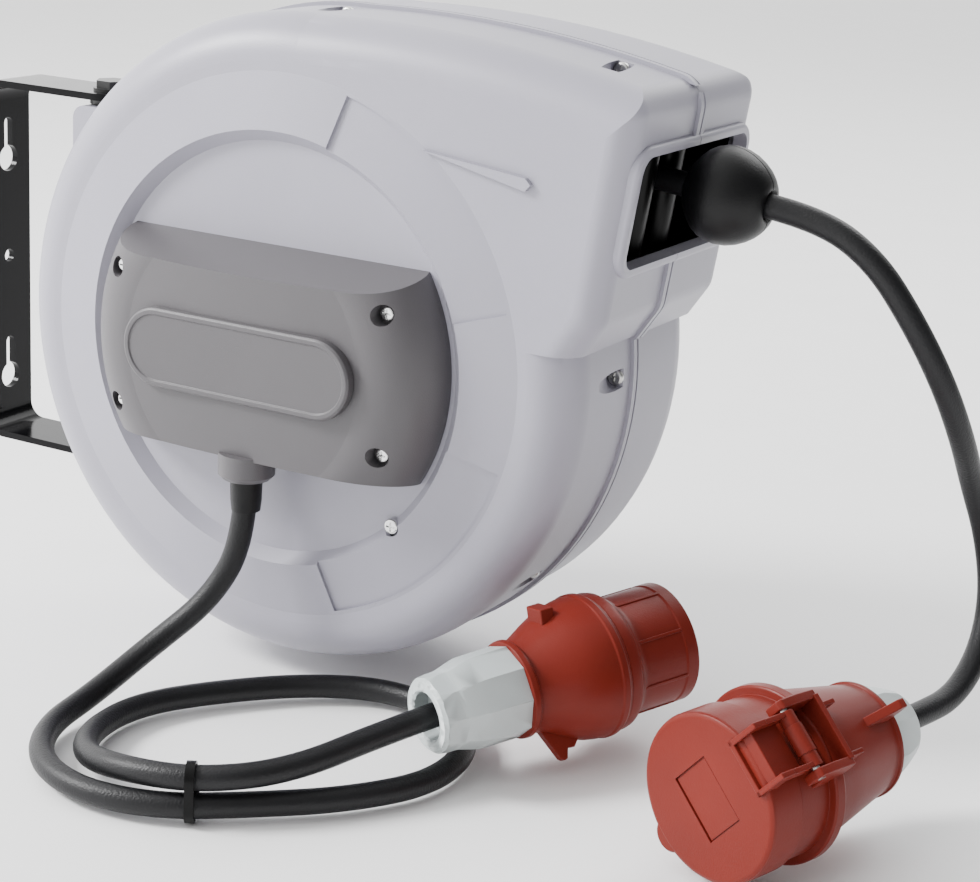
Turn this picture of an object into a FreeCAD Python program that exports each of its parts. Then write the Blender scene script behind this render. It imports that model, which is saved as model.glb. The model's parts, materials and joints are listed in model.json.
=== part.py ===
"""Wall-mounted spring-rewind cable reel with a five-pole plug and connector.

The drum axis runs along Y.  Everything is drawn about the drum's centre and
moved at the end, so that the origin of the finished part is the middle of the
wall plate's back face, +X points out of the wall and +Z up.
"""
import FreeCAD, Part
import math
import os

V = FreeCAD.Vector
X_DIR = V(1, 0, 0)
Y_DIR = V(0, 1, 0)
Z_DIR = V(0, 0, 1)

# ---------------------------------------------------------------- housing
DRUM_R = 178.0          # side of the drum
HALF_DEPTH = 74.0       # seam plane to the plane of the face
WALL = 3.5              # moulded wall
SEAM_GAP = 0.5          # groove between the two seam beads
BEAD_PROUD = 2.0        # seam bead over the drum's side
BEAD_WIDTH = 4.5
BEAD_GROOVE = 1.8       # between the two beads
CREASE_R = 148.7        # foot of the raised band
BAND_TOP_R = 118.5      # crest of the raised band
DISC_R = 112.4          # flat disc inside the band
BAND_RISE = 7.0
RIM_ROUND = 24.0        # rounding between face and side
PAD_DEPTH = 1.8         # lowered sectors of the band
PAD_OUTER_R = 146.6
PAD_ANGLES = ((16.5, 74.0), (-73.0, -17.0))

# ---------------------------------------------------------------- snout and mouth
SNOUT_START = (-12.0, DRUM_R - 1.1)
SNOUT_TOP_MID = (105.0, DRUM_R - 3.0)
SNOUT_CORNER = (DRUM_R + 28.5, DRUM_R - 20.0)
SNOUT_FOOT = (DRUM_R + 0.5, 24.0)
CHIN_RISE = 18.0        # foot to the lower edge of the outlet's end
SNOUT_ROUND = 14.0      # rounding of the outlet's end
RIDGE_RISE = 3.0        # long ridge on the face of the outlet
MOUTH_TILT = 8.0        # the mouth leans forward at its top
MOUTH_X = DRUM_R + 24.0  # middle of the lip's front
MOUTH_Z = 99.0
MOUTH_HALF_W = 62.0
MOUTH_HALF_H = 29.0
MOUTH_CORNER = 9.0
LIP_WIDTH = 5.0
LIP_PROUD = 3.5
LIP_DEPTH = 8.0         # length of the collar behind the lip

# ---------------------------------------------------------------- wall bracket and swivel
PIVOT_X = -(DRUM_R - 6.0)
PIVOT_TO_WALL = 84.0
WALL_REACH = PIVOT_TO_WALL - PIVOT_X
BRACKET_RISE = 2.5      # middle of the bracket above the drum axis
BRACKET_HALF_H = 110.5
BRACKET_WIDTH = 38.0
BRACKET_T = 4.0
BRACKET_BEND_R = 10.0
PIVOT_BOLT_R = 5.0
ARM_TIP_R = 20.0
RUN_CLEAR = 0.06        # radial clearance of every running fit
SET_CLEAR = 0.1         # radial clearance of pieces that are set into each other
PART_GAP = 0.3          # between faces that move past each other
KEYHOLE_Z = (60.4, -76.0)
KEYHOLE_R = 8.0
KEYHOLE_SLOT_R = 3.5
KEYHOLE_RISE = 21.5
PLATE_HOLE_R = 4.0
POST_REACH = 13.0       # hinge post beyond the pivot
BOLT_HEAD_H = 4.4
BOLT_REACH = 28.0       # shank below the arm
POST_HALF_W = 20.0
WASHER_R = 13.0
WASHER_T = 3.4
BUSH_R = 8.5
BUSH_LENGTH = 21.9

# ---------------------------------------------------------------- seam screws
SEAM_SCREW_R = DRUM_R - 4.0
SEAM_SCREW_HEAD_Y = -13.0
SEAM_SCREW_LENGTH = 24.0
SEAM_BOSS_R = 9.0
SEAM_HEAD_HOLE_R = 4.9
SEAM_SHANK_HOLE_R = 2.6
SEAM_POCKET_R = 5.5

# ---------------------------------------------------------------- spool and drive
SPOOL_HALF_W = 50.0
FLANGE_R = 152.0
FLANGE_T = 3.0
CORE_R = 62.0
CORE_WALL = 3.0
SHAFT_R = 9.0
BUSH_OUTER_R = 14.0
CASSETTE_R = 57.5
CASSETTE_Y = (6.0, 46.0)
CASSETTE_WALL = 2.0
ARBOR_R = 18.0
SPRING_TURNS = 8
SPRING_T = 0.8
RATCHET_TEETH = 12
RATCHET_ROOT_R = 78.0
RATCHET_TIP_R = 84.0
RATCHET_HOLE_R = 66.0
RATCHET_T = 5.0
PAWL_PIVOT_R = 112.0
PAWL_ANGLE = 128.0
PAWL_PIN_R = 3.0
WINDOW_R = 48.0         # opening in the face behind the terminal cover
SLIP_RING_R = 29.5
SLIP_CORE_R = 26.0
SLIP_PITCH = 8.0
SLIP_RINGS = 5

# ---------------------------------------------------------------- cord
CORD_DIA = 13.0
FLOOR_Z = -190.0        # surface that the free lead lies on
EXIT_SLOPE = 6.0        # the cable leaves the mouth pointing this far down
EXIT_POINT = V(MOUTH_X + 45, 0, MOUTH_Z + 2.5)

# ---------------------------------------------------------------- terminal cover
COVER_R = 110.0
COVER_HALF_H = 57.0
COVER_DEPTH = 37.0
COVER_TOP_BEVEL = 11.0
COVER_BOTTOM_BEVEL = 4.0
COVER_WALL = 3.0
COVER_SCREWS = (84.4, 37.6)
COVER_SCREW_FLOOR = 22.0
COVER_EDGE_T = 4.0      # thickness left at the round ends
COVER_FLAT_R = 74.0     # the front starts to fall away here
COVER_POST_R = 8.0
COVER_HEAD_HOLE_R = 5.5
COVER_SHANK_HOLE_R = 2.2
GLAND_Y = -HALF_DEPTH - 25.0
GLAND_R = 15.4
GLAND_END_Z = -66.0
GLAND_ROOT = 1.5        # gland boss inside the cover's underside
SLEEVE_R = 8.9
SLEEVE_LENGTH = 22.0

# ---------------------------------------------------------------- outlet fittings
ROLLER_R = 8.0
ROLLER_PIN_R = 2.5
ROLLER_SLACK = 0.8      # cable to roller
GUIDE_SIDE_GAP = 1.5    # guide to the inside of the housing
GUIDE_HALF_H = 35.0
GUIDE_DEPTH = 42.0
GUIDE_WALL = 3.0
GUIDE_SETBACK = 13.5    # lip's front to the guide
GUIDE_LUG = 16.0        # square lugs that seat the guide against the shells
STOPPER_R = 25.5
STOPPER_LENGTH = 44.0
STOPPER_BOLT_OFFSET = 13.5

# ---------------------------------------------------------------- plug and connector
PLUG_ENTRY = V(142, -140, -154)
PLUG_AXIS = V(69, 131.5, 16)
PLUG_LENGTH = 149.0
PLUG_NUT_LENGTH = 50.0
PLUG_BODY_END = 102.0
PLUG_FIN_ANGLE = 60.0
SHROUD_R = 32.0
BULB_R = 38.5
PIN_CIRCLE_R = 18.0
PIN_R = 2.5
EARTH_PIN_R = 3.0
CONNECTOR_ENTRY = V(350, -35, -141.5)
CONNECTOR_AXIS = V(51, 146, 5)
CONNECTOR_LENGTH = 132.0
LID_R = 41.5
COLLAR_R = 44.0
COLLAR_S = 40.0         # lid face to the collar's front
COLLAR_T = 7.0
LID_HINGE_ANGLE = 47.0  # hinge side of the lid above the horizontal
LID_SKIRT = 20.0
LID_T = 3.0
HINGE_X = 50.0
HINGE_S = 22.0
HINGE_PIN_R = 2.0
HINGE_HALF_W = 20.0
CONNECTOR_NUT_LENGTH = 26.0
CONTACT_FACE = 14.0
NUT_MOUTH_R = 12.0
NUT_GRIP = 0.34         # share of a nut's length that stands over the bare cord
FIN_T = 4.0

CORD_R = CORD_DIA / 2
CORD_ON_FLOOR = FLOOR_Z + CORD_R
HALF_GAP = SEAM_GAP / 2


# ================================================================ helpers
def polygon(points):
    """Face from corner points, closed by itself."""
    return Part.Face(Part.makePolygon(list(points) + [points[0]]))


def turned(profile, axis=Z_DIR):
    """Solid of revolution about the local Z or Y axis from (along, radius) pairs."""
    if axis == Z_DIR:
        corners = [V(r, 0, s) for s, r in profile]
    else:
        corners = [V(r, s, 0) for s, r in profile]
    return polygon(corners).revolve(V(0, 0, 0), axis, 360)


def rod(radius, start, end):
    """Round bar between two points."""
    axis = end - start
    return Part.makeCylinder(radius, axis.Length, start, axis)


def tube(outer, inner, start, end):
    """Round sleeve between two points."""
    over = (end - start).normalize()
    return rod(outer, start, end).cut(rod(inner, start - over, end + over))


def block(low, high):
    """Axis-parallel block between two corners."""
    size = high - low
    return Part.makeBox(size.x, size.y, size.z, low)


def prism_y(points, y0, y1):
    """Outline in XZ carried from y0 to y1."""
    return polygon([V(x, y0, z) for x, z in points]).extrude(V(0, y1 - y0, 0))


def mirrored(shape):
    """The same piece on the other side of the seam."""
    return shape.mirror(V(0, 0, 0), Y_DIR)


def joined(shapes):
    """One solid out of touching pieces."""
    first = shapes[0]
    return first.multiFuse(shapes[1:]).removeSplitter()


def group(shapes):
    """Separate solids that share one node."""
    return Part.makeCompound(shapes)


def placed(shape, base, z_axis, x_hint):
    """Copy of a piece drawn along Z, laid along another axis."""
    copy = shape.copy()
    copy.Placement = FreeCAD.Placement(base, FreeCAD.Rotation(x_hint, V(), z_axis, "ZXY"))
    return copy


def screw(head_r, head_h, shank_r, length, base, direction):
    """Cross-recessed pan screw: base is under the head, direction points to its tip."""
    head = Part.makeCylinder(head_r, head_h, V(0, 0, -head_h))
    head = head.makeFillet(head_h * 0.55, [e for e in head.Edges if e.BoundBox.ZMax < -head_h + 0.01])
    arm = head_r * 1.2
    slot = block(V(-arm / 2, -0.5, -head_h - 1), V(arm / 2, 0.5, -head_h * 0.45))
    turned_slot = slot.copy()
    turned_slot.rotate(V(0, 0, 0), Z_DIR, 90)
    head = head.cut(slot).cut(turned_slot)
    body = joined([head, Part.makeCylinder(shank_r, length)])
    hint = Y_DIR if abs(direction.y) < 0.9 else X_DIR
    return placed(body, base, direction, hint)


def rounded_rect(half_w, half_h, corner):
    """Rounded rectangle in the local XY plane."""
    sheet = Part.makePlane(2 * half_w, 2 * half_h, V(-half_w, -half_h, 0)).extrude(V(0, 0, 1))
    uprights = [e for e in sheet.Edges if abs(e.BoundBox.ZLength - 1) < 0.01]
    sheet = sheet.makeFillet(corner, uprights)
    return [f for f in sheet.Faces if f.BoundBox.ZMax < 0.01][0]


def cord_tube(points, name):
    """Round tube on straight runs joined by tangent arcs, each as large as its runs allow."""
    edges = []
    radii = []
    start = points[0]
    for before, corner, after in zip(points, points[1:], points[2:]):
        back = before - corner
        ahead = after - corner
        short = min(back.Length, ahead.Length)
        turn = math.pi - back.getAngle(ahead)
        reach = 0.45 * short
        radius = reach / math.tan(turn / 2)
        radii.append(radius)
        back.normalize()
        ahead.normalize()
        first = corner + back * reach
        last = corner + ahead * reach
        middle_way = (back + ahead).normalize()
        middle = corner + middle_way * (radius / math.cos(turn / 2) - radius)
        edges.append(Part.LineSegment(start, first).toShape())
        edges.append(Part.Arc(first, middle, last).toShape())
        start = last
    edges.append(Part.LineSegment(start, points[-1]).toShape())
    path = Part.Wire(edges)
    ring = Part.Wire([Part.makeCircle(CORD_R, points[0], points[1] - points[0])])
    solid = path.makePipeShell([ring], True, False)
    ideal = math.pi * CORD_R ** 2 * path.Length
    print(name, "length %.0f mm" % path.Length, "tightest radius %.0f mm" % min(radii))
    print(name, "radii", ["%.0f" % r for r in radii])
    print(name, "volume over section x length %.4f" % (solid.Volume / ideal))
    return solid


# ================================================================ housing shells
def face_profile(inset):
    """Half section of the drum, from its axis to its side, in the (r, y) plane."""
    plane = HALF_DEPTH - inset
    side_r = DRUM_R - inset
    rounding = RIM_ROUND - inset
    crest = HALF_DEPTH + BAND_RISE - inset
    corners = [
        V(0, 20, 0),
        V(0, -plane, 0),
        V(DISC_R, -plane, 0),
        V(BAND_TOP_R, -crest, 0),
        V(CREASE_R, -plane, 0),
        V(side_r - rounding, -plane, 0),
    ]
    rim_end = V(side_r, -plane + rounding, 0)
    corner_cut = rounding * (1 - math.sqrt(0.5))
    rim_mid = V(side_r - corner_cut, -plane + corner_cut, 0)
    edges = [Part.LineSegment(a, b).toShape() for a, b in zip(corners, corners[1:])]
    edges.append(Part.Arc(corners[-1], rim_mid, rim_end).toShape())
    edges.append(Part.LineSegment(rim_end, V(side_r, 20, 0)).toShape())
    edges.append(Part.LineSegment(V(side_r, 20, 0), corners[0]).toShape())
    return Part.Face(Part.Wire(edges))


def drum_solid(inset):
    """Drum body, smaller by inset on every side."""
    return face_profile(inset).revolve(V(0, 0, 0), Y_DIR, 360)


def mouth_line_x(z, back):
    """Place of the snout's end wall at a height."""
    return MOUTH_X - back + (z - MOUTH_Z) * math.tan(math.radians(MOUTH_TILT))


def snout_edges(inset):
    """Outline of the snout in XZ, hidden edges last."""
    top_start = V(SNOUT_START[0], 0, SNOUT_START[1] - inset)
    top_mid = V(SNOUT_TOP_MID[0], 0, SNOUT_TOP_MID[1] - inset)
    corner_z = SNOUT_CORNER[1] - inset
    corner = V(mouth_line_x(corner_z, LIP_PROUD + inset), 0, corner_z)
    chin_z = SNOUT_FOOT[1] + CHIN_RISE + inset
    chin = V(mouth_line_x(chin_z, LIP_PROUD + inset), 0, chin_z)
    foot = V(SNOUT_FOOT[0] - inset, 0, SNOUT_FOOT[1] + inset)
    inner_low = V(120, 0, 24 + inset)
    inner_top = V(SNOUT_START[0], 0, 120)
    return [
        Part.Arc(top_start, top_mid, corner).toShape(),
        Part.LineSegment(corner, chin).toShape(),
        Part.LineSegment(chin, foot).toShape(),
        Part.LineSegment(foot, inner_low).toShape(),
        Part.LineSegment(inner_low, inner_top).toShape(),
        Part.LineSegment(inner_top, top_start).toShape(),
    ]


def snout_roof(inset):
    """Prism under the outlet's top, whose long edges are rounded like the drum's rim."""
    half = HALF_DEPTH - inset
    start, middle, end = [V(x, -half, z - inset) for x, z in (SNOUT_START, SNOUT_TOP_MID, SNOUT_CORNER)]
    along = (end - middle).normalize()
    far = end + along * 60
    edges = [
        Part.Arc(start, middle, end).toShape(),
        Part.LineSegment(end, far).toShape(),
        Part.LineSegment(far, V(far.x, -half, 0)).toShape(),
        Part.LineSegment(V(far.x, -half, 0), V(start.x, -half, 0)).toShape(),
        Part.LineSegment(V(start.x, -half, 0), start).toShape(),
    ]
    body = Part.Face(Part.Wire(edges)).extrude(V(0, 2 * half, 0))
    top = [e for e in body.Edges if e.BoundBox.YLength < 0.01 and e.BoundBox.ZMin > 120]
    return body.makeFillet(RIM_ROUND - inset, top)


def snout_solid(inset):
    """Box-like outlet that grows out of the drum's upper right."""
    half = HALF_DEPTH - inset
    rounding = SNOUT_ROUND - inset
    outline = Part.Face(Part.Wire(snout_edges(inset)))
    outline.translate(V(0, -half, 0))
    body = outline.extrude(V(0, 2 * half, 0))
    corner_z = SNOUT_CORNER[1] - inset
    seen = []
    for edge in body.Edges:
        box = edge.BoundBox
        on_face = box.YLength < 0.01
        outside = box.XMax > SNOUT_FOOT[0] - inset - 0.1
        below = box.ZMax < SNOUT_FOOT[1] + inset + 0.1
        nose = box.YLength > half and box.ZMin > corner_z - 0.1 and box.XMin > SNOUT_FOOT[0]
        chin = box.YLength > half and abs(box.ZMin - SNOUT_FOOT[1] - CHIN_RISE - inset) < 0.1
        if (on_face and outside and not below) or nose or chin:
            seen.append(edge)
    return body.makeFillet(rounding, seen).common(snout_roof(inset))


def mouth_place():
    """Frame of the mouth: local X across (Y), local Y up, local Z out of the mouth."""
    tilt = math.radians(MOUTH_TILT)
    out = V(math.cos(tilt), 0, -math.sin(tilt))
    return FreeCAD.Placement(V(MOUTH_X, 0, MOUTH_Z), FreeCAD.Rotation(Y_DIR, V(), out, "ZXY"))


def in_mouth(shape):
    """Move a piece drawn in the mouth's own frame into the drum's frame."""
    copy = shape.copy()
    copy.Placement = mouth_place().multiply(copy.Placement)
    return copy


def lip_ring():
    """Rounded frame around the mouth."""
    outer = rounded_rect(MOUTH_HALF_W + LIP_WIDTH, MOUTH_HALF_H + LIP_WIDTH, MOUTH_CORNER + LIP_WIDTH)
    outer.translate(V(0, 0, -LIP_DEPTH))
    ring = outer.extrude(V(0, 0, LIP_DEPTH))
    front = [e for e in ring.Edges if e.BoundBox.ZMin > -0.01]
    return in_mouth(ring.makeFillet(2.5, front))


def mouth_hole():
    """Straight way through the lip."""
    hole = rounded_rect(MOUTH_HALF_W, MOUTH_HALF_H, MOUTH_CORNER)
    hole.translate(V(0, 0, -30))
    return in_mouth(hole.extrude(V(0, 0, 40)))


def seam_bead():
    """Raised bead that follows the whole outline on one side of the seam."""
    snout = Part.Face(Part.Wire(snout_edges(0))).extrude(V(0, 1, 0))
    drum = rod(DRUM_R, V(0, 0, 0), V(0, 1, 0))
    plate = drum.fuse(snout).removeSplitter()
    corners = [e for e in plate.Edges if e.BoundBox.YLength > 0.9 and e.BoundBox.XMin > SNOUT_FOOT[0] + 5]
    plate = plate.makeFillet(SNOUT_ROUND, corners)
    outline = [f for f in plate.Faces if f.BoundBox.YMax < 0.01][0]
    grown = Part.Face(outline.OuterWire).makeOffset2D(BEAD_PROUD, 0)
    grown.translate(V(0, -BEAD_WIDTH, 0))
    ring = grown.extrude(V(0, BEAD_WIDTH - BEAD_GROOVE / 2, 0))
    return ring.cut(rod(DRUM_R - 1, V(0, -BEAD_WIDTH - 1, 0), V(0, 1, 0))).cut(snout_hollow(1.0))


def snout_hollow(inset):
    """Plain core of the snout, used to hollow rings that follow it."""
    outline = Part.Face(Part.Wire(snout_edges(inset)))
    outline.translate(V(0, -HALF_DEPTH, 0))
    return outline.extrude(V(0, 2 * HALF_DEPTH, 0))


def band_pads():
    """Material removed over the lowered sectors of the raised band."""
    slope = BAND_RISE / (CREASE_R - BAND_TOP_R)
    inner_r = DISC_R - 1
    foot = HALF_DEPTH + (CREASE_R - PAD_OUTER_R) * slope - PAD_DEPTH
    crest = HALF_DEPTH + BAND_RISE - PAD_DEPTH
    cuts = []
    for low, high in PAD_ANGLES:
        corners = [
            V(inner_r, -HALF_DEPTH - 20, 0),
            V(PAD_OUTER_R, -HALF_DEPTH - 20, 0),
            V(PAD_OUTER_R, -foot, 0),
            V(BAND_TOP_R - PAD_DEPTH, -crest, 0),
            V(inner_r, -crest, 0),
        ]
        sector = polygon(corners).revolve(V(0, 0, 0), Y_DIR, high - low)
        sector.rotate(V(0, 0, 0), Y_DIR, -high)
        cuts.append(sector)
    return cuts


SEAM_SCREWS = [(0.0, SEAM_SCREW_R), (DRUM_R - 12.0, DRUM_R - 16.0), (SEAM_SCREW_R, 3.0)]
for seam_angle in (-41.0, -95.0, -138.0, 138.0):
    turn_rad = math.radians(seam_angle)
    SEAM_SCREWS.append((SEAM_SCREW_R * math.cos(turn_rad), SEAM_SCREW_R * math.sin(turn_rad)))


def seam_pocket(x, z):
    """Boat-shaped recess that leads a driver to a seam screw."""
    out = V(x, 0, z).normalize()
    start = V(x, SEAM_SCREW_HEAD_Y, z) + out * 1.5
    end = V(x, SEAM_SCREW_HEAD_Y - 26, z) + out * 9
    return rod(SEAM_POCKET_R, start, end)


def hinge_post():
    """Block at the back of one shell that carries the two swivel bushes."""
    half = BRACKET_HALF_H - BRACKET_T - PART_GAP - WASHER_T
    low = V(PIVOT_X - POST_REACH, -POST_HALF_W, BRACKET_RISE - half)
    high = V(PIVOT_X + 40, -HALF_GAP, BRACKET_RISE + half)
    body = block(low, high)
    edges = [e for e in body.Edges if e.BoundBox.XMax < low.x + 0.01 and e.BoundBox.YLength > 10]
    body = body.makeFillet(8, edges)
    for side in (-1, 1):
        z_mid = BRACKET_RISE + side * (half - 36)
        pocket = block(V(low.x + 5, low.y - 1, z_mid - 9), V(PIVOT_X + 4, low.y + 9, z_mid + 9))
        body = body.cut(pocket)
    middle = block(V(low.x + 5, low.y - 1, BRACKET_RISE - half + 52),
                   V(PIVOT_X + 4, low.y + 9, BRACKET_RISE + half - 52))
    return body.cut(middle)


def bush_hollows():
    """Bores of the hinge post, cut last so that nothing fills them."""
    half = BRACKET_HALF_H - BRACKET_T - PART_GAP - WASHER_T
    bores = []
    for side in (-1, 1):
        floor_z = BRACKET_RISE + side * (half - BUSH_LENGTH - SET_CLEAR)
        mouth_z = BRACKET_RISE + side * (half + 1)
        bores.append(rod(BUSH_R + SET_CLEAR, V(PIVOT_X, 0, floor_z), V(PIVOT_X, 0, mouth_z)))
    return bores


def half_shell():
    """Front half of the housing, with everything that both halves share."""
    cavity = drum_solid(WALL).fuse(snout_solid(WALL))
    outer = drum_solid(0).fuse(snout_solid(0))
    body = joined([outer, hinge_post(), seam_bead()])
    body = body.cut(cavity).fuse(lip_ring())
    within = drum_solid(1).fuse(snout_solid(1))
    for x, z in SEAM_SCREWS:
        boss = rod(SEAM_BOSS_R, V(x, SEAM_SCREW_HEAD_Y - 26, z), V(x, 4, z)).common(within)
        body = body.fuse(boss)
    for pad in band_pads():
        body = body.cut(pad)
    for hollow in [mouth_hole()] + bush_hollows():
        body = body.cut(hollow)
    half_space = block(V(-400, -HALF_GAP, -400), V(400, 400, 400))
    return body.cut(half_space)


def disc_screw_place():
    """Small screw on the band, below and right of the cover."""
    return V(79, -HALF_DEPTH - 2, -83)


def face_ridge():
    """Long low ridge on the outlet's face, widening away from the drum."""
    outline = [(88, 119), (148, 112.5), (151, 109.5), (148, 106)]
    return prism_y(outline, -HALF_DEPTH - RIDGE_RISE, -HALF_DEPTH + 1)


def finish_front(shell):
    """Add the ridge and cut what only the front half has: slip ring window and screw holes."""
    shell = joined([shell, face_ridge()])
    for x, z in SEAM_SCREWS:
        head = V(x, SEAM_SCREW_HEAD_Y, z)
        shell = shell.cut(seam_pocket(x, z))
        shell = shell.cut(rod(SEAM_HEAD_HOLE_R, head - Y_DIR * 8, head))
        shell = shell.cut(rod(SEAM_SHANK_HOLE_R, head - Y_DIR * 5, V(x, 5, z)))
    window = rod(WINDOW_R, V(0, -HALF_DEPTH - 1, 0), V(0, -HALF_DEPTH + WALL + 1, 0))
    shell = shell.cut(window)
    spot = disc_screw_place()
    shell = shell.cut(rod(5.2, spot, spot + V(0, -20, 0)))
    spots = [V(sx * COVER_SCREWS[0], 0, sz * COVER_SCREWS[1]) for sx in (-1, 1) for sz in (-1, 1)]
    spots.append(V(disc_screw_place().x, 0, disc_screw_place().z))
    for spot in spots:
        boss = rod(6, spot + V(0, -HALF_DEPTH + 1, 0), spot + V(0, -HALF_DEPTH + 13, 0))
        shell = joined([shell, boss])
        shell = shell.cut(rod(2.1, spot + V(0, -HALF_DEPTH - 2, 0), spot + V(0, -HALF_DEPTH + 13.5, 0)))
    return shell


def finish_rear(shell):
    """Add what only the rear half has, drawn on the front side before it is mirrored."""
    shell = shell.cut(rod(SHAFT_R + SET_CLEAR, V(0, -HALF_DEPTH - 1, 0), V(0, -HALF_DEPTH + WALL + 1, 0)))
    pin = pawl_pivot()
    boss = rod(7, V(pin.x, -HALF_DEPTH + 1, pin.z), V(pin.x, -HALF_DEPTH + 11, pin.z))
    seat = rod(PAWL_PIN_R + SET_CLEAR, V(pin.x, -HALF_DEPTH + 2, pin.z), V(pin.x, -HALF_DEPTH + 12, pin.z))
    shell = shell.fuse(boss).cut(seat)
    tip_y = -SEAM_SCREW_LENGTH - SEAM_SCREW_HEAD_Y - 1
    for x, z in SEAM_SCREWS:
        shell = shell.cut(rod(SEAM_SHANK_HOLE_R, V(x, tip_y, z), V(x, 5, z)))
    return mirrored(shell)


# ================================================================ terminal cover
def cover_solid(inset):
    """Cover cut from a low dome: round ends that thin out, sloped top and underside."""
    back = -HALF_DEPTH - PART_GAP / 3
    front = back - COVER_DEPTH + inset
    edge_y = back - max(COVER_EDGE_T - inset, 0.5)
    radius = COVER_R - inset
    half_h = COVER_HALF_H - inset
    flat_end = V(COVER_FLAT_R - inset / 2, front + 3.5, 0)
    shoulder = V(radius - 9.5, front + 13.5, 0)
    edges = [
        Part.LineSegment(V(0, back, 0), V(0, front, 0)).toShape(),
        Part.Arc(V(0, front, 0), V(flat_end.x / 2, front + 0.9, 0), flat_end).toShape(),
        Part.Arc(flat_end, shoulder, V(radius, edge_y, 0)).toShape(),
        Part.LineSegment(V(radius, edge_y, 0), V(radius, back, 0)).toShape(),
        Part.LineSegment(V(radius, back, 0), V(0, back, 0)).toShape(),
    ]
    dome = Part.Face(Part.Wire(edges)).revolve(V(0, 0, 0), Y_DIR, 360)
    slope = [
        V(-200, back, -half_h),
        V(-200, back - COVER_DEPTH, -half_h + COVER_BOTTOM_BEVEL),
        V(-200, back - COVER_DEPTH, half_h - COVER_TOP_BEVEL),
        V(-200, back, half_h),
    ]
    wedge = polygon(slope).extrude(V(400, 0, 0))
    return dome.common(wedge)


def terminal_cover():
    """Hollow cover with screw posts, gland boss and a raised plain panel."""
    back = -HALF_DEPTH - PART_GAP / 3
    boss_top = -COVER_HALF_H + COVER_BOTTOM_BEVEL + GLAND_ROOT
    boss = rod(GLAND_R, V(0, GLAND_Y, boss_top), V(0, GLAND_Y, GLAND_END_Z))
    low_rim = [e for e in boss.Edges if e.BoundBox.ZMax < GLAND_END_Z + 0.01]
    boss = boss.makeChamfer(2.5, low_rim)
    body = joined([cover_solid(0), boss])
    inner = cover_solid(COVER_WALL)
    body = body.cut(inner)
    floor_y = back - COVER_SCREW_FLOOR
    for sx in (-1, 1):
        for sz in (-1, 1):
            x = sx * COVER_SCREWS[0]
            z = sz * COVER_SCREWS[1]
            post = rod(COVER_POST_R, V(x, back, z), V(x, back - COVER_DEPTH, z)).common(cover_solid(0))
            body = joined([body, post])
            body = body.cut(rod(COVER_HEAD_HOLE_R, V(x, floor_y, z), V(x, back - COVER_DEPTH - 1, z)))
            body = body.cut(rod(COVER_SHANK_HOLE_R, V(x, back + 1, z), V(x, floor_y - 1, z)))
    seat = rod(SLEEVE_R + 0.1, V(0, GLAND_Y, GLAND_END_Z - 1), V(0, GLAND_Y, GLAND_END_Z + 4))
    return body.cut(seat)


# ================================================================ swivel bracket
def wall_bracket():
    """Flat steel strap bent into a U, with keyholes in its plate."""
    half = BRACKET_HALF_H
    back_x = -WALL_REACH
    tip_x = PIVOT_X + ARM_TIP_R
    outer = block(V(back_x, -BRACKET_WIDTH / 2, -half), V(tip_x, BRACKET_WIDTH / 2, half))
    corners = [e for e in outer.Edges if e.BoundBox.XMax < back_x + 0.01 and e.BoundBox.YLength > 10]
    outer = outer.makeFillet(BRACKET_BEND_R + BRACKET_T, corners)
    inner = block(V(back_x + BRACKET_T, -BRACKET_WIDTH, -half + BRACKET_T),
                  V(tip_x + 10, BRACKET_WIDTH, half - BRACKET_T))
    inner_corners = [e for e in inner.Edges
                     if e.BoundBox.XMax < back_x + BRACKET_T + 0.01 and e.BoundBox.YLength > 10]
    strap = outer.cut(inner.makeFillet(BRACKET_BEND_R, inner_corners))
    tip_zone = block(V(PIVOT_X, -BRACKET_WIDTH, -half - 1), V(tip_x + 1, BRACKET_WIDTH, half + 1))
    tip_round = rod(BRACKET_WIDTH / 2, V(PIVOT_X, 0, -half - 1), V(PIVOT_X, 0, half + 1))
    strap = strap.cut(tip_zone.cut(tip_round))
    strap = strap.cut(rod(PIVOT_BOLT_R + SET_CLEAR, V(PIVOT_X, 0, -half - 1), V(PIVOT_X, 0, half + 1)))
    for z in KEYHOLE_Z:
        strap = strap.cut(keyhole(z))
    strap = strap.cut(rod(PLATE_HOLE_R, V(back_x - 1, 0, 0), V(back_x + BRACKET_T + 1, 0, 0)))
    strap.translate(V(0, 0, BRACKET_RISE))
    return strap


def keyhole(z):
    """Hole for a screw head with a slot for its shank above."""
    x0 = -WALL_REACH - 1
    x1 = -WALL_REACH + BRACKET_T + 1
    hole = rod(KEYHOLE_R, V(x0, 0, z), V(x1, 0, z))
    slot = block(V(x0, -KEYHOLE_SLOT_R, z), V(x1, KEYHOLE_SLOT_R, z + KEYHOLE_RISE))
    top = rod(KEYHOLE_SLOT_R, V(x0, 0, z + KEYHOLE_RISE), V(x1, 0, z + KEYHOLE_RISE))
    return joined([hole, slot, top])


def pivot_bolts():
    """Two hex bolts through the arms into the swivel bushes."""
    bolts = []
    for side in (-1, 1):
        face = V(PIVOT_X, 0, BRACKET_RISE + side * BRACKET_HALF_H)
        out = V(0, 0, side)
        washer = rod(11, face, face + out * 1.6)
        head = hexagon(8.5, BOLT_HEAD_H)
        head = placed(head, face + out * 1.6, out, X_DIR)
        shank = rod(PIVOT_BOLT_R, face + out * 1.6, face - out * BOLT_REACH)
        bolts.append(joined([washer, head, shank]))
    return group(bolts)


def hexagon(across_half, height):
    """Hex prism along Z, given half of its width across flats."""
    corner_r = across_half / math.cos(math.radians(30))
    corners = [V(corner_r * math.cos(math.radians(60 * i)), corner_r * math.sin(math.radians(60 * i)), 0)
               for i in range(6)]
    return polygon(corners).extrude(V(0, 0, height))


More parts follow.
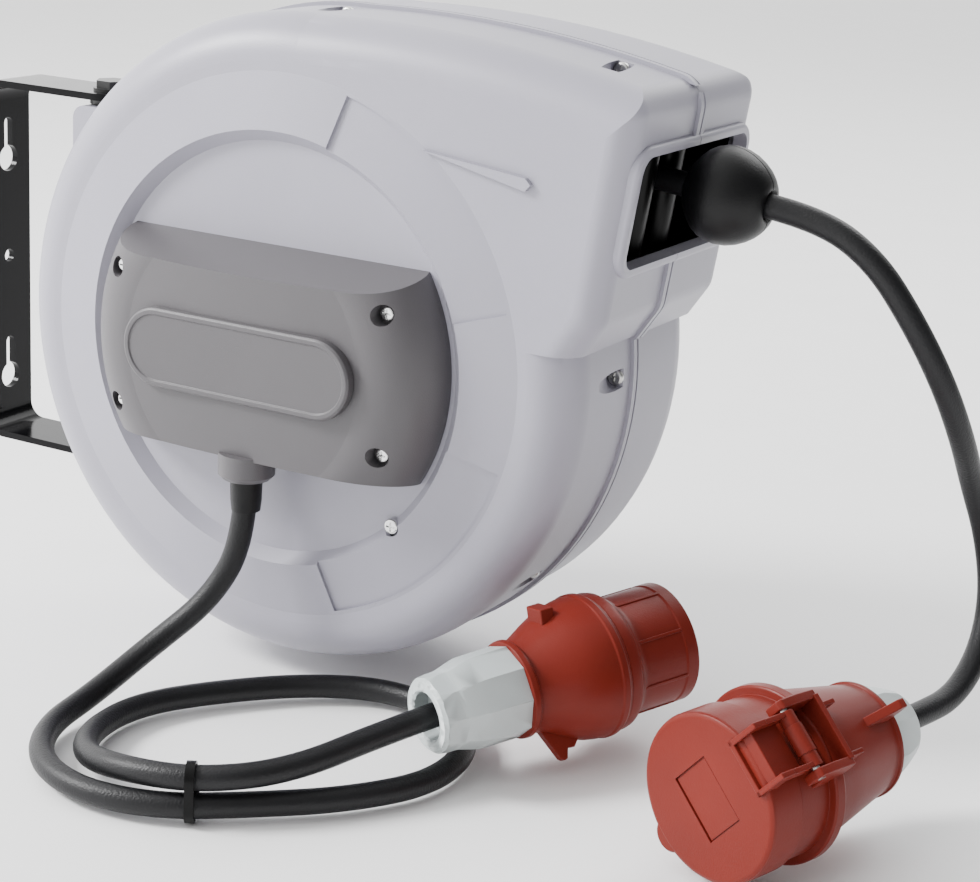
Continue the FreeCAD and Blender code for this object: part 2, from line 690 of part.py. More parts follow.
def swivel_bushes():
    """Sleeves in the hinge post that the bolts turn in."""
    half = BRACKET_HALF_H - BRACKET_T - PART_GAP - WASHER_T
    sleeves = []
    for side in (-1, 1):
        start = V(PIVOT_X, 0, BRACKET_RISE + side * half)
        end = V(PIVOT_X, 0, BRACKET_RISE + side * (half - BUSH_LENGTH))
        sleeves.append(tube(BUSH_R, PIVOT_BOLT_R + RUN_CLEAR, start, end))
    return group(sleeves)


def swivel_washers():
    """Thrust washers between the hinge post and the arms."""
    half = BRACKET_HALF_H - BRACKET_T - PART_GAP - WASHER_T
    rings = []
    for side in (-1, 1):
        start = V(PIVOT_X, 0, BRACKET_RISE + side * half)
        end = V(PIVOT_X, 0, BRACKET_RISE + side * (half + WASHER_T))
        rings.append(tube(WASHER_R, PIVOT_BOLT_R + SET_CLEAR, start, end))
    return group(rings)


# ================================================================ spool and drive
def spool_core():
    """Drum that the cable winds on, with a web and a bearing boss at the front."""
    y0 = -SPOOL_HALF_W
    shell = tube(CORE_R, CORE_R - CORE_WALL, V(0, y0, 0), V(0, SPOOL_HALF_W, 0))
    web = rod(CORE_R - 1, V(0, y0, 0), V(0, y0 + 4, 0))
    boss = rod(18, V(0, y0, 0), V(0, y0 + 16, 0))
    body = joined([shell, web, boss])
    return body.cut(rod(BUSH_OUTER_R + SET_CLEAR, V(0, y0 - 1, 0), V(0, y0 + 17, 0)))


def spool_flange(side):
    """Pressed side disc with stiffening windows."""
    y0 = side * SPOOL_HALF_W
    y1 = side * (SPOOL_HALF_W + FLANGE_T)
    disc = tube(FLANGE_R, CORE_R - 6, V(0, y0, 0), V(0, y1, 0))
    for i in range(6):
        angle = math.radians(60 * i + 30)
        spot = V(123 * math.cos(angle), 0, 123 * math.sin(angle))
        disc = disc.cut(rod(17, spot + V(0, min(y0, y1) - 1, 0), spot + V(0, max(y0, y1) + 1, 0)))
    return disc


def wound_radius():
    """Radius of the winding's outside, one cord below the run that leaves it."""
    slope = math.radians(EXIT_SLOPE)
    run_r = (EXIT_POINT.z + EXIT_POINT.x * math.tan(slope)) * math.cos(slope)
    return run_r - CORD_R - 0.5


def wound_cable():
    """Stored cable as one closed winding with a rounded outer layer."""
    half_w = SPOOL_HALF_W - 0.4
    winding = tube(wound_radius(), CORE_R + PART_GAP, V(0, -half_w, 0), V(0, half_w, 0))
    rims = [e for e in winding.Edges
            if e.BoundBox.YLength < 0.01 and e.BoundBox.XLength > 2 * wound_radius() - 1]
    return winding.makeFillet(4, rims)


def main_shaft():
    """Fixed shaft with a flange against the rear shell and a squared tail."""
    flange = rod(24, V(0, HALF_DEPTH - WALL - 6, 0), V(0, HALF_DEPTH - WALL, 0))
    bar = rod(SHAFT_R, V(0, -SPOOL_HALF_W - 6, 0), V(0, HALF_DEPTH + 8, 0))
    return joined([flange, bar])


def shaft_nut():
    """Nut that clamps the shaft's flange to the rear shell."""
    nut = hexagon(14, 6)
    nut = nut.cut(Part.makeCylinder(SHAFT_R + SET_CLEAR, 8, V(0, 0, -1)))
    return placed(nut, V(0, HALF_DEPTH, 0), Y_DIR, X_DIR)


def rear_cap():
    """Shallow dome over the nut."""
    base = HALF_DEPTH
    profile = [(base, 34), (base + 5, 33), (base + 9.5, 28), (base + 11, 20), (base + 11, 0),
               (base + 9, 0), (base + 9, 19.5), (base + 7.8, 26.5), (base + 4, 30.8), (base, 31.5)]
    return turned(profile, Y_DIR)


def bearing_bush(y0, y1):
    """Plain bearing that runs on the shaft."""
    return tube(BUSH_OUTER_R, SHAFT_R + RUN_CLEAR, V(0, y0, 0), V(0, y1, 0))


def spring_cassette():
    """Can that holds the rewind spring and turns with the spool."""
    y0, y1 = CASSETTE_Y
    can = rod(CASSETTE_R, V(0, y0, 0), V(0, y1, 0))
    can = can.cut(rod(CASSETTE_R - CASSETTE_WALL, V(0, y0 + CASSETTE_WALL, 0), V(0, y1 + 1, 0)))
    return can.cut(rod(20, V(0, y0 - 1, 0), V(0, y1 + 1, 0)))


def cassette_lid():
    """Disc that closes the can and carries the rear bearing."""
    start = V(0, CASSETTE_Y[1], 0)
    end = V(0, SPOOL_HALF_W, 0)
    return tube(CORE_R - CORE_WALL - SET_CLEAR, BUSH_OUTER_R + SET_CLEAR, start, end)


def mainspring():
    """Flat spiral rewind spring."""
    y0 = CASSETTE_Y[0] + 4
    y1 = CASSETTE_Y[1] - 3
    steps = SPRING_TURNS * 16
    inner_r = ARBOR_R + PART_GAP
    outer_r = CASSETTE_R - CASSETTE_WALL - PART_GAP - SPRING_T
    inner = []
    outer = []
    for i in range(steps + 1):
        angle = 2 * math.pi * SPRING_TURNS * i / steps
        radius = inner_r + (outer_r - inner_r) * i / steps
        way = V(math.cos(angle), 0, math.sin(angle))
        inner.append(way * radius + V(0, y0, 0))
        outer.append(way * (radius + SPRING_T) + V(0, y0, 0))
    inside = Part.BSplineCurve()
    inside.interpolate(inner)
    outside = Part.BSplineCurve()
    outside.interpolate(outer)
    ends = [Part.LineSegment(inner[i], outer[i]).toShape() for i in (0, -1)]
    outline = Part.Wire(Part.__sortEdges__([inside.toShape(), outside.toShape()] + ends))
    return Part.Face(outline).extrude(V(0, y1 - y0, 0))


def spring_arbor():
    """Collar on the shaft that the spring's inner end hooks into."""
    y0 = CASSETTE_Y[0] + 4
    y1 = CASSETTE_Y[1] - 3
    return tube(ARBOR_R, SHAFT_R + SET_CLEAR, V(0, y0, 0), V(0, y1, 0))


def ratchet_ring():
    """Toothed ring on the rear flange."""
    y0 = SPOOL_HALF_W + FLANGE_T
    tooth = [
        (0.0, RATCHET_ROOT_R),
        (0.55, RATCHET_ROOT_R),
        (0.62, RATCHET_TIP_R),
        (0.95, RATCHET_TIP_R),
    ]
    pitch = 2 * math.pi / RATCHET_TEETH
    corners = []
    for i in range(RATCHET_TEETH):
        for share, radius in tooth:
            angle = (i + share) * pitch
            corners.append((radius * math.cos(angle), radius * math.sin(angle)))
    ring = prism_y(corners, y0, y0 + RATCHET_T)
    return ring.cut(rod(RATCHET_HOLE_R, V(0, y0 - 1, 0), V(0, y0 + RATCHET_T + 1, 0)))


def pawl_pivot():
    """Centre of the pawl's pin."""
    angle = math.radians(PAWL_ANGLE)
    return V(PAWL_PIVOT_R * math.cos(angle), 0, PAWL_PIVOT_R * math.sin(angle))


def pawl():
    """Latch that drops between the ratchet's teeth, resting just clear of them."""
    y0 = SPOOL_HALF_W + FLANGE_T + 0.5
    pivot = pawl_pivot()
    inward = (pivot * -1).normalize()
    side = V(inward.z, 0, -inward.x)
    tip_r = RATCHET_TIP_R + 1.0
    tip = inward * (PAWL_PIVOT_R - tip_r) + side * 4
    corners = [pivot + side * 6, pivot + tip + side * 3, pivot + tip - side * 4, pivot - side * 6]
    arm = polygon([c + V(0, y0, 0) for c in corners]).extrude(V(0, RATCHET_T - 1, 0))
    eye = rod(7, pivot + V(0, y0, 0), pivot + V(0, y0 + RATCHET_T - 1, 0))
    body = joined([arm, eye])
    return body.cut(rod(PAWL_PIN_R + RUN_CLEAR, pivot + V(0, y0 - 1, 0), pivot + V(0, y0 + 8, 0)))


def pawl_pin():
    """Pin in the rear shell that the pawl turns on."""
    pivot = pawl_pivot()
    start = pivot + V(0, SPOOL_HALF_W + FLANGE_T + 0.5, 0)
    end = pivot + V(0, HALF_DEPTH - 2.5, 0)
    return rod(PAWL_PIN_R, start, end)


def pawl_spring():
    """Small coil round the pawl's pin."""
    pivot = pawl_pivot()
    y0 = SPOOL_HALF_W + FLANGE_T + RATCHET_T
    coils = []
    for i in range(3):
        ring = Part.makeTorus(PAWL_PIN_R + 1.2, 0.6, pivot + V(0, y0 + 0.7 + 1.3 * i, 0), Y_DIR)
        coils.append(ring)
    return group(coils)


# ================================================================ slip rings and terminals
def slip_ring_core():
    """Insulating carrier of the slip rings, bolted to the spool's web."""
    y0 = -SPOOL_HALF_W
    length = SLIP_RINGS * SLIP_PITCH + 4
    plate = rod(36, V(0, y0, 0), V(0, y0 - 4, 0))
    stem = rod(SLIP_CORE_R, V(0, y0 - 3, 0), V(0, y0 - 4 - length, 0))
    body = joined([plate, stem])
    return body.cut(rod(SHAFT_R + 0.6, V(0, y0 + 1, 0), V(0, y0 - 60, 0)))


def slip_ring_y(i):
    """Middle of one slip ring."""
    return -SPOOL_HALF_W - 4 - SLIP_PITCH * (i + 0.75)


def slip_rings():
    """Five brass rings."""
    rings = []
    for i in range(SLIP_RINGS):
        y = slip_ring_y(i)
        rings.append(tube(SLIP_RING_R, SLIP_CORE_R + SET_CLEAR, V(0, y - 2, 0), V(0, y + 2, 0)))
    return group(rings)


def brushes():
    """Carbon blocks that press on the rings."""
    blocks = []
    for i in range(SLIP_RINGS):
        y = slip_ring_y(i)
        blocks.append(block(V(SLIP_RING_R + PART_GAP, y - 1.8, -3), V(SLIP_RING_R + 9, y + 1.8, 3)))
    return group(blocks)


def brush_holder():
    """Block that guides the brushes, standing on the shell's face."""
    y_low = slip_ring_y(SLIP_RINGS - 1) - 3.5
    body = block(V(SLIP_RING_R + 4, y_low, -9), V(SLIP_RING_R + 17, slip_ring_y(0) + 3.5, 9))
    foot = block(V(SLIP_RING_R + 12, -HALF_DEPTH - 4, -14), V(WINDOW_R + 12, -HALF_DEPTH, 14))
    body = joined([body, foot])
    for i in range(SLIP_RINGS):
        y = slip_ring_y(i)
        body = body.cut(block(V(SLIP_RING_R - 1, y - 1.9, -3.1), V(SLIP_RING_R + 9.1, y + 1.9, 3.1)))
    return body


def terminal_block():
    """Five-way terminal strip beside the gland."""
    top = -HALF_DEPTH
    body = block(V(-76, top - 16, -24), V(-50, top, 20))
    for i in range(5):
        z = -18 + 8 * i
        body = body.cut(rod(2.4, V(-63, top - 17, z), V(-63, top - 10, z)))
    return body


def terminal_screws():
    """Clamp screws of the terminal strip."""
    top = -HALF_DEPTH
    pins = [rod(2.2, V(-63, top - 15, -18 + 8 * i), V(-63, top - 10, -18 + 8 * i)) for i in range(5)]
    return group(pins)


# ================================================================ mouth fittings
def run_height(out):
    """Height of the outgoing cable over the mouth's middle, at a depth of the mouth's frame."""
    inside = mouth_place().inverse()
    slope = math.radians(EXIT_SLOPE)
    near = inside.multVec(EXIT_POINT)
    far = inside.multVec(EXIT_POINT - V(math.cos(slope), 0, -math.sin(slope)) * 100)
    share = (near.z - out) / (near.z - far.z)
    return near.y + (far.y - near.y) * share


ROLLER_REACH = CORD_R + ROLLER_SLACK + ROLLER_R
GUIDE_INNER_HALF_W = HALF_DEPTH - WALL - GUIDE_SIDE_GAP - GUIDE_WALL
GUIDE_FRONT = -GUIDE_SETBACK
TALL_ROLLER_OUT = GUIDE_FRONT - ROLLER_R - 1
FLAT_ROLLER_OUT = TALL_ROLLER_OUT - 2 * ROLLER_R - 2


def roller_axes():
    """Ends of each roller's axis in the mouth's frame, and its name."""
    across = V(GUIDE_INNER_HALF_W, 0, 0)
    upright = V(0, GUIDE_HALF_H - GUIDE_WALL, 0)
    flat = run_height(FLAT_ROLLER_OUT)
    middles = {
        "roller_upper": (V(0, flat + ROLLER_REACH, FLAT_ROLLER_OUT), across),
        "roller_lower": (V(0, flat - ROLLER_REACH, FLAT_ROLLER_OUT), across),
        "roller_front": (V(-ROLLER_REACH, 0, TALL_ROLLER_OUT), upright),
        "roller_rear": (V(ROLLER_REACH, 0, TALL_ROLLER_OUT), upright),
    }
    return {name: (middle - half, middle + half) for name, (middle, half) in middles.items()}


def roller(ends):
    """Sleeve that turns on its pin, a little shorter than the gap it sits in."""
    start, end = ends
    way = (end - start).normalize()
    body = tube(ROLLER_R, ROLLER_PIN_R + RUN_CLEAR, start + way * PART_GAP, end - way * PART_GAP)
    return in_mouth(body)


def roller_guide():
    """Frame behind the mouth that carries the four rollers."""
    side = GUIDE_INNER_HALF_W
    outer_w = side + GUIDE_WALL
    shell = block(V(-outer_w, -GUIDE_HALF_H, GUIDE_FRONT - GUIDE_DEPTH),
                  V(outer_w, GUIDE_HALF_H, GUIDE_FRONT))
    inner = block(V(-side, -GUIDE_HALF_H + GUIDE_WALL, GUIDE_FRONT - GUIDE_DEPTH - 1),
                  V(side, GUIDE_HALF_H - GUIDE_WALL, GUIDE_FRONT + 1))
    lug_back = GUIDE_FRONT - GUIDE_DEPTH + 4
    lugs = block(V(-HALF_DEPTH + WALL + SET_CLEAR, -GUIDE_LUG / 2, lug_back),
                 V(HALF_DEPTH - WALL - SET_CLEAR, GUIDE_LUG / 2, lug_back + GUIDE_LUG))
    frame = joined([shell, lugs]).cut(inner)
    return in_mouth(frame).cut(in_mouth(roller_pin_bars(SET_CLEAR)))


def roller_pin_bars(extra):
    """The four pins in the mouth's frame, thicker by extra."""
    bars = []
    for start, end in roller_axes().values():
        way = (end - start).normalize()
        over = way * (GUIDE_WALL - 0.1)
        bars.append(rod(ROLLER_PIN_R + extra, start - over, end + over))
    return group(bars)


def exit_way():
    """Direction of the outgoing cable."""
    slope = math.radians(EXIT_SLOPE)
    return V(math.cos(slope), 0, -math.sin(slope))


def cable_inner_run():
    """Stretch of cable from the winding through the rollers to the stopper's tip."""
    slope = math.radians(EXIT_SLOPE)
    run_r = wound_radius() + CORD_R + 0.5
    start = V(run_r * math.sin(slope), 0, run_r * math.cos(slope))
    return rod(CORD_R, start, EXIT_POINT)


def stopper_half(side):
    """Half of the rubber stopper ball that is clamped on the cable."""
    length = STOPPER_LENGTH
    profile = [
        (-length, CORD_R + 0.05),
        (-length, 12.5),
        (-length + 2, 15.5),
        (-length + 7, 21),
        (-length + 13, 24.5),
        (-length + 19, STOPPER_R),
        (-19, 25),
        (-13, 23),
        (-8, 20),
        (-3.5, 16),
        (-0.8, 12),
        (0, 9.5),
        (0, CORD_R + 0.05),
    ]
    body = placed(turned(profile), EXIT_POINT, exit_way(), Y_DIR)
    keep = block(V(100, 0.1, 0), V(400, 100, 300)) if side > 0 else block(V(100, -100, 0), V(400, -0.1, 300))
    body = body.common(keep)
    for bolt in stopper_bolt_lines():
        body = body.cut(rod(1.8, bolt - Y_DIR * 40, bolt + Y_DIR * 40))
        body = body.cut(rod(3.6, bolt + Y_DIR * side * 11, bolt + Y_DIR * side * 40))
    return body


def stopper_bolt_lines():
    """Middle points of the two clamp screws."""
    up = V(math.sin(math.radians(EXIT_SLOPE)), 0, math.cos(math.radians(EXIT_SLOPE)))
    middle = EXIT_POINT - exit_way() * (STOPPER_LENGTH - 14)
    return [middle + up * STOPPER_BOLT_OFFSET, middle - up * STOPPER_BOLT_OFFSET]


def stopper_bolts():
    """Clamp screws of the stopper."""
    heads = [spot - Y_DIR * 11 for spot in stopper_bolt_lines()]
    return group([screw(3.2, 2.6, 1.7, 20, head, Y_DIR) for head in heads])


# ================================================================ plug
def on_plug(shape):
    """Lay a piece drawn along Z on the plug's axis, entry at its origin."""
    side = Z_DIR.cross(PLUG_AXIS)
    return placed(shape, PLUG_ENTRY, PLUG_AXIS, side)


def cable_nut(length, big_r, small_r):
    """Union nut: round collar, cone and eight flats, open at its mouth."""
    profile = [(0, NUT_MOUTH_R), (0, small_r - 1.5), (1.5, small_r), (length * 0.22, small_r + 1.0),
               (length * 0.52, big_r - 2.5), (length * 0.58, big_r), (length, big_r),
               (length, CORD_R + 4), (length * 0.5, CORD_R + 4), (length * 0.5, CORD_R + 0.1),
               (length * NUT_GRIP, CORD_R + 0.1)]
    body = turned(profile)
    flats = hexagon(big_r - 0.6, length)
    return body.common(joined([flats, Part.makeCylinder(big_r - 1.2, length)]))


def plug_body():
    """Red rear body of the plug, from the nut to the shroud's collar."""
    profile = [(PLUG_NUT_LENGTH, CORD_R + 4), (PLUG_NUT_LENGTH, 25.5), (PLUG_NUT_LENGTH + 3, 25.5),
               (PLUG_NUT_LENGTH + 4, 23.5), (62, 27.5), (74, 34), (84, 37.5), (94, BULB_R),
               (PLUG_BODY_END, BULB_R - 0.5), (PLUG_BODY_END, 30), (70, 24), (60, CORD_R + 4)]
    body = turned(profile)
    tip = -BULB_R - 8
    root = -BULB_R + 14.5
    y0 = -FIN_T / 2
    fin = polygon([V(tip, y0, 60), V(tip, y0, 66), V(root, y0, 84), V(root, y0, 62)]).extrude(V(0, FIN_T, 0))
    fin.rotate(V(0, 0, 0), Z_DIR, PLUG_FIN_ANGLE)
    return joined([body, fin.cut(Part.makeCylinder(24.5, 60, V(0, 0, 50)))])


def plug_shroud():
    """Front part of the plug: collar, open shroud and key rib."""
    s0 = PLUG_BODY_END
    end = PLUG_LENGTH
    profile = [
        (s0, 4),
        (s0, BULB_R - 1.0),
        (s0 + 5, BULB_R - 1.5),
        (s0 + 9, SHROUD_R + 1.5),
        (s0 + 13, SHROUD_R),
        (end - 8, SHROUD_R - 0.4),
        (end - 8, SHROUD_R + 0.5),
        (end, SHROUD_R),
        (end, SHROUD_R - 3),
        (s0 + 8, SHROUD_R - 3.2),
        (s0 + 8, 4),
    ]
    body = turned(profile)
    for place in pin_places():
        body = body.cut(Part.makeCylinder(EARTH_PIN_R + 0.05, 20, V(place.x, place.y, s0 - 1)))
    return body


def pin_places():
    """Five contact places on the pin circle, earth first."""
    spots = []
    for i in range(5):
        angle = math.radians(90 + 72 * i)
        spots.append(V(PIN_CIRCLE_R * math.cos(angle), PIN_CIRCLE_R * math.sin(angle), 0))
    return spots


def plug_pins():
    """Earth pin and four live pins."""
    pins = []
    for i, spot in enumerate(pin_places()):
        radius = EARTH_PIN_R if i == 0 else PIN_R
        pin = Part.makeCylinder(radius, 44, V(spot.x, spot.y, PLUG_BODY_END - 6))
        collar = Part.makeCylinder(EARTH_PIN_R, 14, V(spot.x, spot.y, PLUG_BODY_END - 6))
        pins.append(joined([pin, collar]))
    return group(pins)


# ================================================================ connector
def on_connector(shape):
    """Lay a piece drawn along Z on the connector, lid face at its origin, X towards the hinge."""
    axis = V(CONNECTOR_AXIS).normalize()
    base = CONNECTOR_ENTRY - axis * CONNECTOR_LENGTH
    level = Z_DIR.cross(axis).normalize() * -1
    up = axis.cross(level).normalize() * -1
    angle = math.radians(LID_HINGE_ANGLE)
    hinge_side = level * math.cos(angle) + up * math.sin(angle)
    return placed(shape, base, axis, hinge_side)


def connector_body():
    """Red body: collar ring, tapered grip and hinge ears."""
    end = CONNECTOR_LENGTH - CONNECTOR_NUT_LENGTH
    collar_back = COLLAR_S + COLLAR_T
    profile = [(LID_SKIRT + 1, SHROUD_R + 1.5), (LID_SKIRT + 1, COLLAR_R - 4.5), (COLLAR_S, COLLAR_R - 4.5),
               (COLLAR_S + 1, COLLAR_R), (collar_back, COLLAR_R), (collar_back + 2, COLLAR_R - 6),
               (collar_back + 15, 36.5), (end - 26, 33), (end - 12, 30), (end - 3, 27), (end - 3, 28.4),
               (end, 28.4), (end, CORD_R + 4), (end - 22, CORD_R + 6), (end - 36, 28),
               (CONTACT_FACE + 42, SHROUD_R + 1.5)]
    body = turned(profile)
    mouth = tube(SHROUD_R + 4, SHROUD_R + 1.5, V(0, 0, 5), V(0, 0, LID_SKIRT + 4))
    parts = [body, mouth]
    for side in (-1, 1):
        y_mid = side * (HINGE_HALF_W - 2.5)
        ear = block(V(COLLAR_R - 12, y_mid - 2.5, HINGE_S - 4.2),
                    V(HINGE_X + 4.5, y_mid + 2.5, HINGE_S + 24))
        eye_zone = Part.makeCylinder(LID_R + 1.7, HINGE_S + 6.6, V(0, 0, 0))
        parts.append(ear.cut(eye_zone))
    y0 = -FIN_T / 2
    fin = polygon([V(24, y0, end - 30), V(28, y0, end - 6), V(44, y0, end - 4), V(44, y0, end - 10)])
    fin = fin.extrude(V(0, FIN_T, 0))
    parts.append(fin.cut(Part.makeCylinder(26, 60, V(0, 0, end - 50))))
    body = joined(parts)
    over = HINGE_HALF_W + 1
    return body.cut(rod(HINGE_PIN_R + SET_CLEAR, V(HINGE_X, -over, HINGE_S), V(HINGE_X, over, HINGE_S)))


def connector_insert():
    """Contact carrier that the plug's shroud slides over."""
    face = Part.makeCylinder(SHROUD_R - 6.2, 42, V(0, 0, CONTACT_FACE))
    base = Part.makeCylinder(SHROUD_R + 1.4, 8, V(0, 0, CONTACT_FACE + 34))
    body = joined([face, base])
    for spot in pin_places():
        body = body.cut(Part.makeCylinder(EARTH_PIN_R + 1.3, 38, V(spot.x, spot.y, CONTACT_FACE - 1)))
    return body


def connector_contacts():
    """Five brass sleeves in the insert."""
    sleeves = []
    for spot in pin_places():
        start = V(spot.x, spot.y, CONTACT_FACE + 2)
        sleeves.append(tube(EARTH_PIN_R + 1.2, EARTH_PIN_R + 0.1, start, start + Z_DIR * 34.8))
    return group(sleeves)


def connector_lid():
    """Spring lid: round cap, key lobe, bare panel recess and hinge frame."""
    cap = Part.makeCylinder(LID_R, LID_SKIRT)
    rim = [e for e in cap.Edges if e.BoundBox.ZMax < 0.01]
    cap = cap.makeFillet(2.2, rim)
    lobe = Part.makeCylinder(9, LID_SKIRT, V(-LID_R + 4.5, 2, 0))
    lug = block(V(LID_R - 12, -HINGE_HALF_W + 5.8, 0), V(HINGE_X, HINGE_HALF_W - 5.8, 4))
    knuckle = rod(4.2, V(HINGE_X, -HINGE_HALF_W + 5.8, HINGE_S), V(HINGE_X, HINGE_HALF_W - 5.8, HINGE_S))
    web = block(V(LID_R - 1, -HINGE_HALF_W + 5.8, 0), V(HINGE_X + 3, HINGE_HALF_W - 5.8, HINGE_S))
    body = joined([cap, lobe, lug, web, knuckle])
    body = body.cut(Part.makeCylinder(LID_R - 3, LID_SKIRT, V(0, 0, LID_T)))
    body = body.cut(block(V(-19, -13, -1), V(9, 13, 0.8)))
    body = body.cut(rod(5.0, V(HINGE_X, -6.2, HINGE_S), V(HINGE_X, 6.2, HINGE_S)))
    return body.cut(rod(HINGE_PIN_R + RUN_CLEAR, V(HINGE_X, -30, HINGE_S), V(HINGE_X, 30, HINGE_S)))


def lid_pin():
    """Steel pin of the lid's hinge."""
    reach = HINGE_HALF_W
    return rod(HINGE_PIN_R, V(HINGE_X, -reach, HINGE_S), V(HINGE_X, reach, HINGE_S))


def lid_spring():
    """Coils of the lid's torsion spring."""
    coils = []
    for i in range(8):
        centre = V(HINGE_X, -5.2 + 1.5 * i, HINGE_S)
        coils.append(Part.makeTorus(HINGE_PIN_R + 1.0, 0.6, centre, Y_DIR))
    return group(coils)


# ================================================================ cords
LEAD_ROUTE = [
    V(0, GLAND_Y, GLAND_END_Z + 4),
    V(0, GLAND_Y, -100),
    V(-14, -109, -135),
    V(-38, -132, -162),
    V(-48, -168, -180),
    V(-45, -210, CORD_ON_FLOOR),
    V(-21, -244, CORD_ON_FLOOR),
    V(17, -259, CORD_ON_FLOOR),
    V(59, -251, CORD_ON_FLOOR),
    V(96, -222, CORD_ON_FLOOR),
    V(130, -190, CORD_ON_FLOOR),
    V(154, -149, CORD_ON_FLOOR),
    V(148, -102, CORD_ON_FLOOR),
    V(116, -69, CORD_ON_FLOOR),
    V(71, -62, CORD_ON_FLOOR),
    V(32, -83, CORD_ON_FLOOR),
    V(0, -118, CORD_ON_FLOOR),
    V(-25, -158, CORD_ON_FLOOR),
    V(-24, -199, CORD_ON_FLOOR),
    V(-2, -233, -179),
    V(36, -248, -171),
    V(76, -241, -169),
    V(108, -210, -167),
    V(131, -161, -158),
    PLUG_ENTRY + PLUG_AXIS * (PLUG_NUT_LENGTH * NUT_GRIP / PLUG_AXIS.Length),
]
OUTLET_ROUTE = [
    EXIT_POINT,
    EXIT_POINT + exit_way() * 29,
    V(305, 0, 82),
    V(325, 6, 54),
    V(341, 14, 24),
    V(349, 30, -7),
    V(349, 56, -37),
    V(357, 65, -66),
    V(365, 60, -96),
    V(368, 42, -122),
    V(365, 15, -139),
    V(357, -15, -141),
    CONNECTOR_ENTRY - CONNECTOR_AXIS * (CONNECTOR_NUT_LENGTH * NUT_GRIP / CONNECTOR_AXIS.Length),
]


TIE_UPPER_Z = -169.2    # upper strand where the tie holds both


def inlet_sleeve():
    """Rubber sleeve that relieves the lead where it leaves the cover."""
    top = V(0, GLAND_Y, GLAND_END_Z + 4)
    bore = CORD_R + 0.1
    length = SLEEVE_LENGTH
    profile = [
        (0, bore),
        (0, SLEEVE_R),
        (length - 6, SLEEVE_R - 0.4),
        (length, SLEEVE_R - 1.0),
        (length, bore),
    ]
    return placed(turned(profile), top, Z_DIR * -1, X_DIR)


def cable_tie():
    """Strap round the two strands of the lead's loop, with its square head."""
    low = V(71.7, -240.5, CORD_ON_FLOOR)
    rise = TIE_UPPER_Z - CORD_ON_FLOOR
    along = V(0.86, 0.49, 0).normalize()
    inner_r = CORD_R + 0.9
    width = 4.6
    rings = []
    for radius in (inner_r + 1.3, inner_r):
        lower = Part.makeCylinder(radius, width, V(0, 0, -width / 2))
        upper = Part.makeCylinder(radius, width, V(0, rise, -width / 2))
        middle = block(V(-radius, 0, -width / 2), V(radius, rise, width / 2))
        rings.append(joined([lower, upper, middle]))
    head = block(V(inner_r + 0.2, rise / 2 - 3.5, -width / 2 - 1),
                 V(inner_r + 6, rise / 2 + 3.5, width / 2 + 1))
    strap = joined([rings[0], head]).cut(rings[1])
    across = Z_DIR.cross(along)
    return placed(strap, low, along, across)


# ================================================================ fasteners
def seam_screws():
    """Screws that hold the two shells together."""
    heads = [V(x, SEAM_SCREW_HEAD_Y, z) for x, z in SEAM_SCREWS]
    return group([screw(4.4, 2.4, 2.3, SEAM_SCREW_LENGTH, head, Y_DIR) for head in heads])


def cover_screws():
    """Four screws of the terminal cover."""
    floor_y = -HALF_DEPTH - PART_GAP / 3 - COVER_SCREW_FLOOR
    length = COVER_SCREW_FLOOR + 9
    heads = [V(sx * COVER_SCREWS[0], floor_y, sz * COVER_SCREWS[1]) for sx in (-1, 1) for sz in (-1, 1)]
    return group([screw(4.2, 2.6, 1.9, length, head, Y_DIR) for head in heads])


def disc_screw():
    """Small screw on the face of the front shell."""
    return screw(4.4, 2.4, 1.9, 10, disc_screw_place(), Y_DIR)


